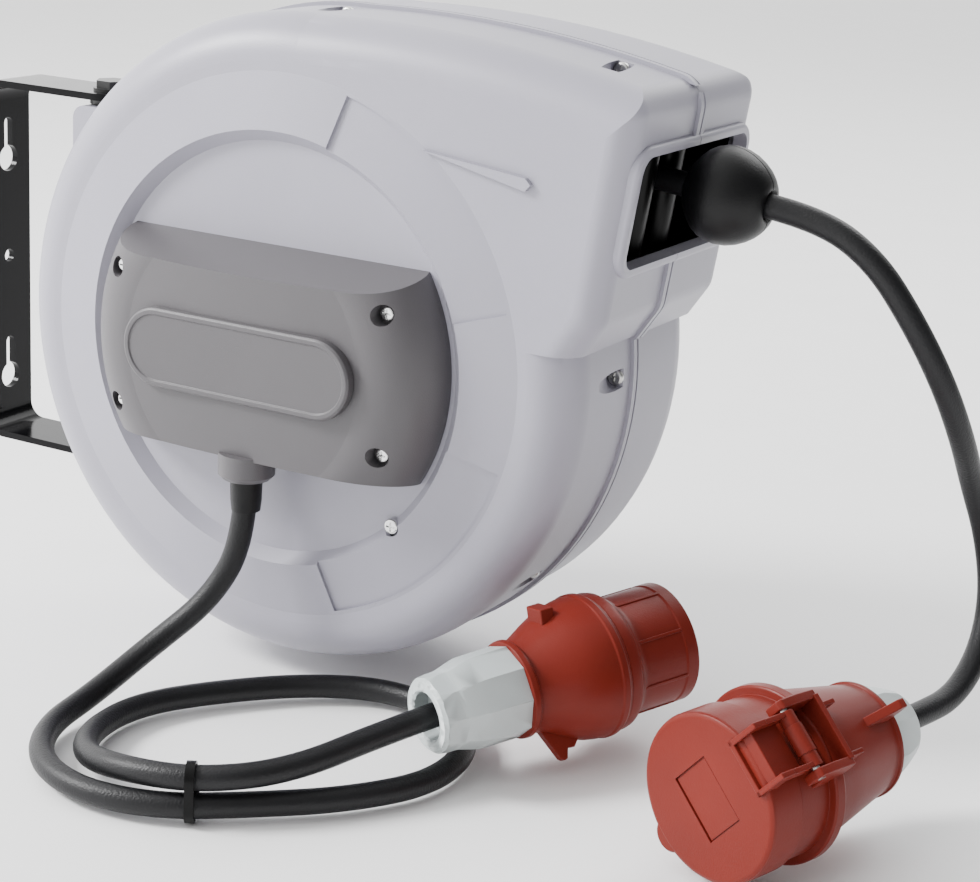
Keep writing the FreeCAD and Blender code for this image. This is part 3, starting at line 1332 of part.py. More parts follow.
# ================================================================ the whole reel
def build():
    """Every node by name, about the drum's centre."""
    axes = roller_axes()
    nodes = {
        "wall_bracket": wall_bracket(),
        "pivot_bolts": pivot_bolts(),
        "swivel_bushes": swivel_bushes(),
        "swivel_washers": swivel_washers(),
        "front_shell": finish_front(half_shell()),
        "rear_shell": finish_rear(half_shell()),
        "seam_screws": seam_screws(),
        "terminal_cover": terminal_cover(),
        "cover_screws": cover_screws(),
        "disc_screw": disc_screw(),
        "main_shaft": main_shaft(),
        "shaft_nut": shaft_nut(),
        "rear_cap": rear_cap(),
        "spring_arbor": spring_arbor(),
        "spool_core": spool_core(),
        "spool_flange_front": spool_flange(-1),
        "spool_flange_rear": spool_flange(1),
        "wound_cable": wound_cable(),
        "front_bush": bearing_bush(-SPOOL_HALF_W, -SPOOL_HALF_W + 16),
        "rear_bush": bearing_bush(CASSETTE_Y[1], SPOOL_HALF_W + FLANGE_T),
        "spring_cassette": spring_cassette(),
        "cassette_lid": cassette_lid(),
        "mainspring": mainspring(),
        "ratchet_ring": ratchet_ring(),
        "pawl": pawl(),
        "pawl_pin": pawl_pin(),
        "pawl_spring": pawl_spring(),
        "slip_ring_core": slip_ring_core(),
        "slip_rings": slip_rings(),
        "brush_holder": brush_holder(),
        "brushes": brushes(),
        "terminal_block": terminal_block(),
        "terminal_screws": terminal_screws(),
        "roller_guide": roller_guide(),
        "roller_pins": in_mouth(roller_pin_bars(0)),
        "cable_inner_run": cable_inner_run(),
        "stopper_front": stopper_half(-1),
        "stopper_rear": stopper_half(1),
        "stopper_bolts": stopper_bolts(),
        "inlet_sleeve": inlet_sleeve(),
        "inlet_lead": cord_tube(LEAD_ROUTE, "inlet_lead"),
        "cable_tie": cable_tie(),
        "plug_nut": on_plug(cable_nut(PLUG_NUT_LENGTH, 25.0, 19.0)),
        "plug_body": on_plug(plug_body()),
        "plug_shroud": on_plug(plug_shroud()),
        "plug_pins": on_plug(plug_pins()),
        "outlet_cord": cord_tube(OUTLET_ROUTE, "outlet_cord"),
        "connector_body": on_connector(connector_body()),
        "connector_insert": on_connector(connector_insert()),
        "connector_contacts": on_connector(connector_contacts()),
        "connector_lid": on_connector(connector_lid()),
        "lid_pin": on_connector(lid_pin()),
        "lid_spring": on_connector(lid_spring()),
        "connector_nut": connector_nut(),
    }
    for name, ends in axes.items():
        nodes[name] = roller(ends)
    return nodes


def connector_nut():
    """Union nut at the connector's cable end."""
    nut = cable_nut(CONNECTOR_NUT_LENGTH, 26.0, 20.0)
    axis = V(CONNECTOR_AXIS).normalize() * -1
    return placed(nut, CONNECTOR_ENTRY, axis, Z_DIR.cross(axis))


os.makedirs("parts", exist_ok=True)
TO_WALL = V(WALL_REACH, 0, -BRACKET_RISE)
for node, shape in build().items():
    moved = shape.copy()
    moved.Placement = FreeCAD.Placement(TO_WALL, FreeCAD.Rotation()).multiply(moved.Placement)
    moved.exportStep("parts/" + node + ".step")
    print(node, "solids", len(moved.Solids), "valid", moved.isValid(), "volume %.0f" % moved.Volume)
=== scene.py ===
# %% [markdown]
# # A spring-rewind cable reel
# The reel hangs on a wall bracket: a round housing of two moulded halves, a cover over the
# terminals, a mouth with rollers, a lead that ends in a red plug and a cable that ends in a red
# lidded connector.  The construction comes from the fixed frame.  This notebook gives every
# surface its finish and models the pieces whose shape is richer than their construction solid.

# %% Load the frame
import bpy
import json
import math
from mathutils import Matrix, Vector


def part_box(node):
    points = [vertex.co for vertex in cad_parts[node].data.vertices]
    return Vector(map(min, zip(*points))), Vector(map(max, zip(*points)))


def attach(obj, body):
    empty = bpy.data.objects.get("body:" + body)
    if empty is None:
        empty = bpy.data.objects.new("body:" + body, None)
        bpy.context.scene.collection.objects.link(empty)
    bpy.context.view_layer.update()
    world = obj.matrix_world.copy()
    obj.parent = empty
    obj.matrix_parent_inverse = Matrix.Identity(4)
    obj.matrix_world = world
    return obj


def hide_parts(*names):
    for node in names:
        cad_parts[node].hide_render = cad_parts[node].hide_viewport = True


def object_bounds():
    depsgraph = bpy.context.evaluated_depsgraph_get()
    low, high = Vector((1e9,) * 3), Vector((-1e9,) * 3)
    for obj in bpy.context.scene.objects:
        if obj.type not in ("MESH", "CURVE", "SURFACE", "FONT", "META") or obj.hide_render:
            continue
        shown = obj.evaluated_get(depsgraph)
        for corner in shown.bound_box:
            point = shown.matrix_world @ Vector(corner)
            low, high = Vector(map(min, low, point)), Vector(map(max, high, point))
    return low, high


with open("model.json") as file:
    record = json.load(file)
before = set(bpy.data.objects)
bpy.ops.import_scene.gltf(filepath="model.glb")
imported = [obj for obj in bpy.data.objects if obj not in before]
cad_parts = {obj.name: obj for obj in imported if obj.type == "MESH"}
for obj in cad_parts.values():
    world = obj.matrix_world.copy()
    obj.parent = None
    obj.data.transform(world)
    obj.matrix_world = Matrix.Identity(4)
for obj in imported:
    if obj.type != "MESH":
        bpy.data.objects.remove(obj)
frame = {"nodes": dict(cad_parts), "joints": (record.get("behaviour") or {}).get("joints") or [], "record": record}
nodes = frame["nodes"]
construction_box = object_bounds()
MM = 0.001
print("nodes", len(nodes), "box", construction_box)

# %% [markdown]
# ## Places
# Nothing is measured by eye here: the drum's centre and the two fittings are read from the
# joints and mounts of the frame, so a piece lands where the construction has it.

# %% Read places from the joints and mounts
joints = {joint["name"]: joint for joint in frame["joints"]}
mounts = {mount["name"]: mount for mount in frame["record"]["mounts"]}
DRUM_CENTRE = Vector(joints["spool_spin"]["pos_m"])
PLUG_FACE = Vector(mounts["plug_face"]["pos_m"])
PLUG_AXIS = Vector(mounts["plug_face"]["axis"]).normalized()
LID_FACE = Vector(mounts["outlet_face"]["pos_m"])
CONNECTOR_AXIS = -Vector(mounts["outlet_face"]["axis"]).normalized()
LID_HINGE_AXIS = -Vector(joints["lid_hinge"]["axis"]).normalized()
PLUG_LENGTH = 149.0
print("drum centre", DRUM_CENTRE, "plug face", PLUG_FACE, "lid face", LID_FACE)


def frame_at(origin, along, across):
    """Matrix whose Z is along and whose X is as near to across as it can be."""
    z = along.normalized()
    y = z.cross(across).normalized()
    x = y.cross(z)
    matrix = Matrix((x, y, z)).transposed().to_4x4()
    matrix.translation = origin
    return matrix


PLUG_PLACE = frame_at(
    PLUG_FACE - PLUG_AXIS * PLUG_LENGTH * MM, PLUG_AXIS, Vector((0, 0, 1)).cross(PLUG_AXIS))
CONNECTOR_PLACE = frame_at(
    LID_FACE, CONNECTOR_AXIS, LID_HINGE_AXIS.cross(CONNECTOR_AXIS))

# %% [markdown]
# ## Camera
# A long lens from the front right and a little above, so that face, outlet side and both
# fittings show.  The direction is built from three turns: round the reel, up, and a small roll.

# %% Camera
CAMERA_PLACE = Vector((0.93745, -1.05607, 0.30575))
AZIMUTH = math.radians(29.122)
ELEVATION = math.radians(16.544)
ROLL = math.radians(2.978)
FOCAL_LENGTH = 83.9
SENSOR_WIDTH = 36
forward = Vector((
    -math.sin(AZIMUTH) * math.cos(ELEVATION),
    math.cos(AZIMUTH) * math.cos(ELEVATION),
    -math.sin(ELEVATION),
))
level_right = Vector((math.cos(AZIMUTH), math.sin(AZIMUTH), 0))
level_up = level_right.cross(forward)
right = level_right * math.cos(ROLL) + level_up * math.sin(ROLL)
up = level_up * math.cos(ROLL) - level_right * math.sin(ROLL)
turn = Matrix((right, up, -forward)).transposed().to_4x4()
turn.translation = CAMERA_PLACE
camera_data = bpy.data.cameras.new("camera")
camera_data.lens = FOCAL_LENGTH
camera_data.sensor_width = SENSOR_WIDTH
camera = bpy.data.objects.new("camera", camera_data)
camera.matrix_world = turn
bpy.context.scene.collection.objects.link(camera)
bpy.context.scene.camera = camera
print("camera at", CAMERA_PLACE, "looks along", forward)

# %% [markdown]
# ## Finishes
# Every finish is a small node tree on one shader.  Moulded plastic is never one flat colour: it
# has a fine grain that scatters the light, a faint cloudiness in its tone, and places that
# hands have polished.  One helper lays these down and each finish then gives its own values.

# %% A moulded finish
CLOUD_SCALE = 14
CLOUD_DETAIL = 6
CLOUD_DARK_END = 0.3
CLOUD_LIGHT_END = 0.7
POLISH_SPREAD = 0.07
SMOOTHEST = 0.03
GRAIN_DETAIL = 3


def moulded(name, colour, roughness,
            grain_mm=0.5, grain=0.1, cloud=0.05, metal=0.0, gloss=0.5):
    """Shader with fine grain in its surface and slow changes of tone and gloss."""
    material = bpy.data.materials.new(name)
    material.use_nodes = True
    tree = material.node_tree
    shader = tree.nodes["Principled BSDF"]
    shader.inputs["Metallic"].default_value = metal
    shader.inputs["Specular IOR Level"].default_value = gloss
    place = tree.nodes.new("ShaderNodeTexCoord")
    slow = tree.nodes.new("ShaderNodeTexNoise")
    slow.inputs["Scale"].default_value = CLOUD_SCALE
    slow.inputs["Detail"].default_value = CLOUD_DETAIL
    tree.links.new(place.outputs["Object"], slow.inputs["Vector"])
    tone = tree.nodes.new("ShaderNodeValToRGB")
    dark, light = tone.color_ramp.elements
    dark.position = CLOUD_DARK_END
    light.position = CLOUD_LIGHT_END
    dark.color = [c * (1 - cloud) for c in colour] + [1]
    light.color = [min(1, c * (1 + cloud)) for c in colour] + [1]
    tree.links.new(slow.outputs["Fac"], tone.inputs["Fac"])
    tree.links.new(tone.outputs["Color"], shader.inputs["Base Color"])
    polish = tree.nodes.new("ShaderNodeMapRange")
    polish.inputs["To Min"].default_value = max(SMOOTHEST, roughness - POLISH_SPREAD)
    polish.inputs["To Max"].default_value = min(1, roughness + POLISH_SPREAD)
    tree.links.new(slow.outputs["Fac"], polish.inputs["Value"])
    tree.links.new(polish.outputs["Result"], shader.inputs["Roughness"])
    fine = tree.nodes.new("ShaderNodeTexNoise")
    fine.inputs["Scale"].default_value = 1 / (grain_mm * MM)
    fine.inputs["Detail"].default_value = GRAIN_DETAIL
    tree.links.new(place.outputs["Object"], fine.inputs["Vector"])
    bump = tree.nodes.new("ShaderNodeBump")
    bump.inputs["Strength"].default_value = grain
    bump.inputs["Distance"].default_value = grain_mm * MM
    tree.links.new(fine.outputs["Fac"], bump.inputs["Height"])
    tree.links.new(bump.outputs["Normal"], shader.inputs["Normal"])
    return material


# %% [markdown]
# The finishes are named after the material slots of the record, so that each construction node
# can be dressed by looking up its slot.  The hidden pieces get theirs too: brass contacts,
# bronze bushes and blued spring steel show when the lid opens or a shell is taken off.

# %% The finishes of the reel
finishes = {
    "bracket_steel": moulded(
        "bracket_enamel", (0.002, 0.002, 0.0025), 0.16, grain_mm=1.2, grain=0.04, gloss=0.12),
    "housing_grey": moulded(
        "housing_grain", (0.335, 0.326, 0.382), 0.38, grain_mm=0.7, grain=0.14, cloud=0.03),
    "cover_grey": moulded(
        "cover_grain", (0.080, 0.075, 0.081), 0.42, grain_mm=0.6, grain=0.2, cloud=0.05),
    "zinc_steel": moulded(
        "zinc_plate", (0.62, 0.62, 0.6), 0.3, grain_mm=0.4, grain=0.06, metal=1.0, cloud=0.08),
    "chrome_screw": moulded(
        "screw_plate", (0.72, 0.72, 0.72), 0.14, grain_mm=0.3, grain=0.03, metal=1.0),
    "spring_steel": moulded(
        "spring_blue", (0.22, 0.23, 0.26), 0.32,
        grain_mm=0.4, grain=0.05, metal=1.0, cloud=0.15),
    "black_bolt": moulded(
        "bolt_black", (0.01, 0.01, 0.01), 0.3, grain_mm=0.6, grain=0.1, gloss=0.4),
    "bronze": moulded(
        "bush_bronze", (0.5, 0.32, 0.15), 0.35, grain_mm=0.4, grain=0.08, metal=1.0, cloud=0.12),
    "brass": moulded(
        "contact_brass", (0.75, 0.56, 0.25), 0.25,
        grain_mm=0.4, grain=0.05, metal=1.0, cloud=0.1),
    "carbon": moulded(
        "brush_carbon", (0.03, 0.03, 0.03), 0.6, grain_mm=0.3, grain=0.3),
    "inner_black": moulded(
        "inner_black", (0.002, 0.002, 0.002), 0.3, grain_mm=0.6, grain=0.12, gloss=0.15),
    "spool_grey": moulded(
        "spool_grey", (0.08, 0.08, 0.085), 0.5, grain_mm=0.8, grain=0.15),
    "cable_rubber": moulded(
        "cable_sheath", (0.006, 0.006, 0.007), 0.42,
        grain_mm=1.1, grain=0.3, cloud=0.3, gloss=0.3),
    "stopper_rubber": moulded(
        "stopper_rubber", (0.003, 0.003, 0.0035), 0.4,
        grain_mm=0.8, grain=0.2, cloud=0.2, gloss=0.25),
    "plug_red": moulded(
        "plug_red", (0.15, 0.016, 0.010), 0.36, grain_mm=0.9, grain=0.12, cloud=0.12, gloss=0.15),
    "nut_white": moulded(
        "nut_pale", (0.46, 0.5, 0.5), 0.36, grain_mm=0.8, grain=0.1, cloud=0.04),
    "insert_black": moulded(
        "insert_black", (0.02, 0.02, 0.02), 0.45, grain_mm=0.5, grain=0.12),
}
print("finishes", len(finishes))

# %% Dress the construction nodes
slot_of = {part["node"]: part["material_slot"] for part in frame["record"]["subparts"]}
for name, piece in nodes.items():
    piece.data.materials.clear()
    piece.data.materials.append(finishes[slot_of[name]])
print("dressed", len(nodes), "construction nodes")

# %% [markdown]
# ## Cords
# Both cords are one smooth curve of a fixed length.  The points are the ones of the
# construction route, counted from the drum's centre, and the spline passes inside its corners
# as a stiff rubber cable would.

# %% Routes of the two cords
CORD_DIA = 0.013
ON_FLOOR = -0.1835
LEAD_ROUTE = [
    (0, -0.099, -0.062),
    (0, -0.099, -0.100),
    (-0.014, -0.109, -0.135),
    (-0.038, -0.132, -0.162),
    (-0.048, -0.168, -0.180),
    (-0.045, -0.210, ON_FLOOR),
    (-0.021, -0.244, ON_FLOOR),
    (0.017, -0.259, ON_FLOOR),
    (0.059, -0.251, ON_FLOOR),
    (0.096, -0.222, ON_FLOOR),
    (0.130, -0.190, ON_FLOOR),
    (0.154, -0.149, ON_FLOOR),
    (0.148, -0.102, ON_FLOOR),
    (0.116, -0.069, ON_FLOOR),
    (0.071, -0.062, ON_FLOOR),
    (0.032, -0.083, ON_FLOOR),
    (0, -0.118, ON_FLOOR),
    (-0.025, -0.158, ON_FLOOR),
    (-0.024, -0.199, ON_FLOOR),
    (-0.002, -0.233, -0.179),
    (0.036, -0.248, -0.171),
    (0.076, -0.241, -0.169),
    (0.108, -0.210, -0.167),
    (0.131, -0.161, -0.158),
    (0.1499, -0.1250, -0.1522),
]
OUTLET_ROUTE = [
    (0.247, 0, 0.1015),
    (0.2758, 0, 0.0985),
    (0.305, 0, 0.082),
    (0.325, 0.006, 0.054),
    (0.341, 0.014, 0.024),
    (0.349, 0.030, -0.007),
    (0.349, 0.056, -0.037),
    (0.357, 0.065, -0.066),
    (0.365, 0.060, -0.096),
    (0.368, 0.042, -0.122),
    (0.365, 0.015, -0.139),
    (0.357, -0.015, -0.141),
    (0.3471, -0.0433, -0.1418),
]

# %% Draw the two cords
STEPS_PER_POINT = 12
ROUND_RESOLUTION = 8


def cord_curve(name, route):
    """Round cable along one NURBS spline."""
    data = bpy.data.curves.new(name, "CURVE")
    data.dimensions = "3D"
    spline = data.splines.new("NURBS")
    spline.points.add(len(route) - 1)
    for point, place in zip(spline.points, route):
        point.co = (*(DRUM_CENTRE + Vector(place)), 1)
    spline.order_u = 3
    spline.use_endpoint_u = True
    spline.resolution_u = STEPS_PER_POINT
    data.bevel_depth = CORD_DIA / 2
    data.bevel_resolution = ROUND_RESOLUTION
    data.use_fill_caps = True
    cord = bpy.data.objects.new(name, data)
    bpy.context.scene.collection.objects.link(cord)
    cord.data.materials.append(finishes["cable_rubber"])
    print(name, "follows", len(route), "points")
    return cord


lead = cord_curve("lead_cable", LEAD_ROUTE)
outlet = cord_curve("outlet_cable", OUTLET_ROUTE)

# %% [markdown]
# ## Shaping helpers
# A turned piece is a disc that is extruded ring by ring, which is how one would block it out by
# hand.  A slab is a cube scaled to size in edit mode, and a prism is an outline that is carried
# along one axis.  Edges are then softened by an applied bevel, because moulded plastic has no
# knife edges and light needs something to catch on.  Each helper works in millimetres.


# %% Selecting and placing
def only(piece):
    """Select one piece and nothing else."""
    bpy.ops.object.select_all(action="DESELECT")
    piece.select_set(True)
    bpy.context.view_layer.objects.active = piece


def settle(piece, place):
    """Move the mesh to its place, so that the object itself stays at the origin."""
    piece.matrix_world = place
    only(piece)
    bpy.ops.object.transform_apply(location=True, rotation=True, scale=True)
    return piece


def about_axis(degrees):
    """Turn about the length of a fitting."""
    return Matrix.Rotation(math.radians(degrees), 4, "Z")


# %% Turned pieces
def turned(name, profile, sides=72):
    """Round piece along +Z through (height, radius) pairs in millimetres."""
    height, radius = profile[0]
    bpy.ops.object.select_all(action="DESELECT")
    bpy.ops.mesh.primitive_circle_add(
        vertices=sides, radius=radius * MM, fill_type="NGON", location=(0, 0, height * MM))
    piece = bpy.context.object
    piece.name = name
    bpy.ops.object.transform_apply(location=True, rotation=True, scale=True)
    bpy.ops.object.mode_set(mode="EDIT")
    for next_height, next_radius in profile[1:]:
        rise = (next_height - height) * MM
        bpy.ops.mesh.extrude_region_move(TRANSFORM_OT_translate={"value": (0, 0, rise)})
        share = next_radius / radius
        bpy.ops.transform.resize(
            value=(share, share, 1), center_override=(0, 0, next_height * MM))
        height, radius = next_height, next_radius
    bpy.ops.mesh.select_all(action="SELECT")
    bpy.ops.mesh.normals_make_consistent(inside=False)
    bpy.ops.object.mode_set(mode="OBJECT")
    return piece


# %% Slabs and prisms
def slab(name, low, high):
    """Block between two corners in millimetres."""
    size = [(b - a) * MM for a, b in zip(low, high)]
    middle = [(a + b) / 2 * MM for a, b in zip(low, high)]
    bpy.ops.object.select_all(action="DESELECT")
    bpy.ops.mesh.primitive_cube_add(size=1, location=middle)
    piece = bpy.context.object
    piece.name = name
    bpy.ops.object.transform_apply(location=True, rotation=True, scale=True)
    bpy.ops.object.mode_set(mode="EDIT")
    bpy.ops.mesh.select_all(action="SELECT")
    bpy.ops.transform.resize(value=size, center_override=middle)
    bpy.ops.object.mode_set(mode="OBJECT")
    return piece


def prism(name, outline, low, high):
    """Outline in the local XZ plane, in millimetres, carried from low to high along Y."""
    bpy.ops.object.select_all(action="DESELECT")
    bpy.ops.mesh.primitive_circle_add(vertices=len(outline), radius=MM, fill_type="NGON")
    piece = bpy.context.object
    piece.name = name
    for vertex, (x, z) in zip(piece.data.vertices, outline):
        vertex.co = (x * MM, low * MM, z * MM)
    bpy.ops.object.mode_set(mode="EDIT")
    bpy.ops.mesh.select_all(action="SELECT")
    bpy.ops.mesh.extrude_region_move(
        TRANSFORM_OT_translate={"value": (0, (high - low) * MM, 0)})
    bpy.ops.mesh.select_all(action="SELECT")
    bpy.ops.mesh.normals_make_consistent(inside=False)
    bpy.ops.object.mode_set(mode="OBJECT")
    return piece


# %% Booleans and soft edges
SOFT_ANGLE = 32
SOFT_SEGMENTS = 3


def apply_modifiers(piece):
    """Make every modifier part of the mesh."""
    only(piece)
    for modifier in list(piece.modifiers):
        bpy.ops.object.modifier_apply(modifier=modifier.name)


def combine(piece, other, operation):
    """Boolean of two pieces; the second is used up."""
    cut = piece.modifiers.new("cut", "BOOLEAN")
    cut.operation = operation
    cut.object = other
    cut.solver = "EXACT"
    apply_modifiers(piece)
    bpy.data.objects.remove(other)
    return piece


def soften(piece, width, angle=SOFT_ANGLE):
    """Round the edges and smooth what is rounded."""
    bevel = piece.modifiers.new("soft_edges", "BEVEL")
    bevel.width = width * MM
    bevel.segments = SOFT_SEGMENTS
    bevel.limit_method = "ANGLE"
    bevel.angle_limit = math.radians(angle)
    apply_modifiers(piece)
    bpy.ops.object.shade_smooth_by_angle(angle=math.radians(angle))
    even = piece.modifiers.new("even_normals", "WEIGHTED_NORMAL")
    even.keep_sharp = True
    apply_modifiers(piece)
    return piece


# %% Joining and seating
def join(name, pieces):
    """Several meshes as one piece."""
    only(pieces[0])
    for piece in pieces[1:]:
        piece.select_set(True)
    bpy.ops.object.join()
    pieces[0].name = name
    return pieces[0]


def seat(piece, place, slot, body, replaced=()):
    """Lay the mesh in its place, give it its finish and let it ride."""
    settle(piece, place)
    piece.data.materials.clear()
    piece.data.materials.append(finishes[slot])
    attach(piece, body)
    if replaced:
        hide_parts(*replaced)
    print(piece.name, "faces", len(piece.data.polygons))
    return piece


# %% [markdown]
# ## The plug
# A five-pole plug has a pale union nut that clamps the cable, an egg-shaped body with a locking
# fin, and an open shroud round its pins.  The round parts are turned, so ring-by-ring extrusion
# gives the true profile.  The nut's flats come from a boolean with a nine-sided cone, because
# flats on a cone have edges that fade out, which a bevel can't give.

# %% Union nut of the plug
PLUG_SIDES = 96
NUT_FLATS = 9
NUT_EDGE = 0.5
NUT_EDGE_ANGLE = 22
nut = turned("plug_union_nut", [
    (9, 8.5), (9, 12.2), (1.4, 12.6), (0.4, 13.8), (0, 15.8), (0.5, 18.2), (2.4, 19.9),
    (8, 20.8), (11.5, 21.3), (13, 20.9), (15, 21.3), (27, 24.8), (29, 25.3), (47.5, 25.6),
    (49.6, 25.0), (49.6, 8),
], sides=PLUG_SIDES)
flats = turned("flats", [(-1, 20.9), (12, 20.9), (27, 24.5), (51, 24.9)], sides=NUT_FLATS)
nut = combine(nut, flats, "INTERSECT")
soften(nut, NUT_EDGE, angle=NUT_EDGE_ANGLE)
seat(nut, PLUG_PLACE, "nut_white", "housing", ["plug_nut"])

# %% [markdown]
# The body swells from the nut to a double bead.  Its locking fin is a thin prism below, where
# the lid of a socket hooks on, and a square lug stands above.  Both are modelled on the local
# X axis and then turned about the plug's length, which is easier than drawing them aslant.

# %% Body of the plug
FIN_HALF_THICKNESS = 2.4
FIN_TURN = 240
LUG_TURN = 80
body = turned("plug_rear_body", [
    (48, 10), (49.8, 24.6), (50, 25.9), (53, 26.2), (54.2, 25.6), (54.6, 23.6), (58, 24.6),
    (64, 27.4), (71, 31.0), (78, 34.2), (85, 36.6), (91, 37.8), (95.5, 38.2), (96.4, 38.9),
    (99.6, 38.9), (100.6, 38.0), (101.9, 37.8), (101.9, 8),
], sides=PLUG_SIDES)
soften(body, 0.45)
fin = prism(
    "fin", [(22, 58), (41.5, 66), (43, 68), (42.5, 70), (37.5, 72), (38, 76), (30, 84)],
    -FIN_HALF_THICKNESS, FIN_HALF_THICKNESS)
settle(soften(fin, 0.5), about_axis(FIN_TURN))
lug = slab("lug", (24, -7, 71), (38.5, 7, 79))
settle(soften(lug, 0.8), about_axis(LUG_TURN))
body = join("plug_rear_body", [body, fin, lug])
seat(body, PLUG_PLACE, "plug_red", "housing", ["plug_body"])

# %% [markdown]
# The shroud is an open tube with a lip, so its profile runs up the inside, over the rim and
# back down the outside.  Low ribs run along it; one is modelled on the X axis and copied round.

# %% Shroud of the plug
RIB_TURNS = (20, 55, 100, 145, 190, 235, 280, 325)
SHROUD_EDGE = 0.4
shroud = turned("plug_front_shroud", [
    (104, 8), (104, 28.7), (148.2, 29.1), (149, 29.8), (149, 31.6), (148.2, 32.4),
    (141.4, 32.5), (140.6, 31.9), (116, 31.9), (112.5, 33.0), (110.5, 35.2), (109, 36.8),
    (106.4, 37.4), (102.1, 37.5), (102.1, 8),
], sides=PLUG_SIDES)
soften(shroud, SHROUD_EDGE)
rib = soften(slab("rib", (31.2, -0.9, 114), (32.6, 0.9, 141.5)), SHROUD_EDGE)
ribs = []
for rib_turn in RIB_TURNS:
    twin = rib.copy()
    twin.data = rib.data.copy()
    bpy.context.scene.collection.objects.link(twin)
    ribs.append(settle(twin, about_axis(rib_turn)))
bpy.data.objects.remove(rib)
shroud = join("plug_front_shroud", [shroud] + ribs)
seat(shroud, PLUG_PLACE, "plug_red", "housing", ["plug_shroud"])

# %% [markdown]
# ## The connector
# The connector ends in a sprung lid.  Its face carries a bare sunk panel and a key lobe, and at
# its hinge a small frame with two ribs stands up.  The lid is a piece of its own, because it
# swings, so its hinge frame rides with it and the ears stay on the body.  The sunk panel has a
# deeper groove round it.  One slab with a plateau cuts both at once, because several cutters
# whose sides lie in one plane leave a boolean in doubt, and its mesh then varies between runs.
# The cap's own edges are crisp, so their bevel is only a few thousandths of a millimetre wide.

# %% Open chosen faces for editing
def open_faces(piece, wanted):
    """Enter edit mode with only the wanted faces selected."""
    only(piece)
    bpy.ops.object.mode_set(mode="EDIT")
    bpy.ops.mesh.select_mode(type="FACE")
    bpy.ops.mesh.select_all(action="DESELECT")
    bpy.ops.object.mode_set(mode="OBJECT")
    for face in piece.data.polygons:
        face.select = wanted(face)
    bpy.ops.object.mode_set(mode="EDIT")


# %% Lid cap with its sunk field
CONNECTOR_SIDES = 112
LID_R = 41.4
FIELD_HALF_W = 12.5
FIELD_HALF_H = 17
FIELD_DEPTH = 0.6
GROOVE_DEPTH = 1.3
GROOVE_WIDTH = 0.9
CRISP_EDGE = 0.0063
lid = turned("outlet_lid_cap", [
    (3.2, 8), (3.2, 38.4), (19.6, 38.6), (20, 39.4), (20, 40.6), (19.4, LID_R),
    (2.6, LID_R), (1.1, 40.9), (0.3, 39.8), (0, 38.4), (0, 8),
], sides=CONNECTOR_SIDES)
field = slab(
    "field", (-FIELD_HALF_W, -FIELD_HALF_H, -1), (FIELD_HALF_W, FIELD_HALF_H, GROOVE_DEPTH))
open_faces(field, lambda face: face.normal.z > 0.9)
bpy.ops.mesh.inset(thickness=GROOVE_WIDTH * MM, depth=0)
bpy.ops.mesh.extrude_region_move(
    TRANSFORM_OT_translate={"value": (0, 0, (FIELD_DEPTH - GROOVE_DEPTH) * MM)})
bpy.ops.object.mode_set(mode="OBJECT")
lid = combine(lid, field, "DIFFERENCE")
soften(lid, CRISP_EDGE)
print("lid cap faces", len(lid.data.polygons))

# %% Key lobe of the lid
LOBE_EDGE = 0.3
lobe = turned("lobe", [
    (0.2, 3), (0.2, 7.6), (1.0, 8.6), (2.2, 9), (19.5, 9), (19.5, 3),
], sides=40)
soften(lobe, LOBE_EDGE)
settle(lobe, Matrix.Translation(Vector((-LID_R + 4.8, 2, 0)) * MM))
print("lobe faces", len(lobe.data.polygons))

# %% Hinge frame of the lid
HINGE_HEIGHT = 22.0
HINGE_EDGE = 0.6
frame_parts = [
    soften(slab("hinge_frame", low, high), HINGE_EDGE)
    for low, high in (
        ((33, -14.2, -2.2), (36, 14.2, 3)),
        ((33, -14.2, -2.2), (54, -11.4, 6)),
        ((33, 11.4, -2.2), (54, 14.2, 6)),
        ((40, -13, 0.5), (47, 13, 17)),
        ((46, -14.2, 4), (53.2, -11.4, HINGE_HEIGHT)),
        ((46, 11.4, 4), (53.2, 14.2, HINGE_HEIGHT)),
    )
]
print("hinge frame of", len(frame_parts), "slabs")

# %% Knuckles of the lid
KNUCKLE_EDGE = 0.2
lie = (Matrix.Translation(Vector((50, 0, HINGE_HEIGHT)) * MM)
       @ Matrix.Rotation(math.radians(-90), 4, "X"))
for profile in (
    [(-14.2, 2.1), (-14.2, 3.9), (-13.8, 4.2), (-6.8, 4.2), (-6.8, 2.1)],
    [(6.8, 2.1), (6.8, 4.2), (13.8, 4.2), (14.2, 3.9), (14.2, 2.1)],
    [(-7, 3.8), (-7, 4.7), (7, 4.7), (7, 3.8)],
):
    knuckle = turned("knuckle", profile, sides=32)
    frame_parts.append(settle(soften(knuckle, KNUCKLE_EDGE), lie))
lid = join("outlet_lid_cap", [lid, lobe] + frame_parts)
seat(lid, CONNECTOR_PLACE, "plug_red", "outlet_lid", ["connector_lid"])

# %% [markdown]
# The body is a long grip that widens into the collar behind the lid.  The ears that carry the
# lid's pin are prisms, one on each side, a cross plate and two ribs tie them together, and a
# thin fin stands on the grip behind them.

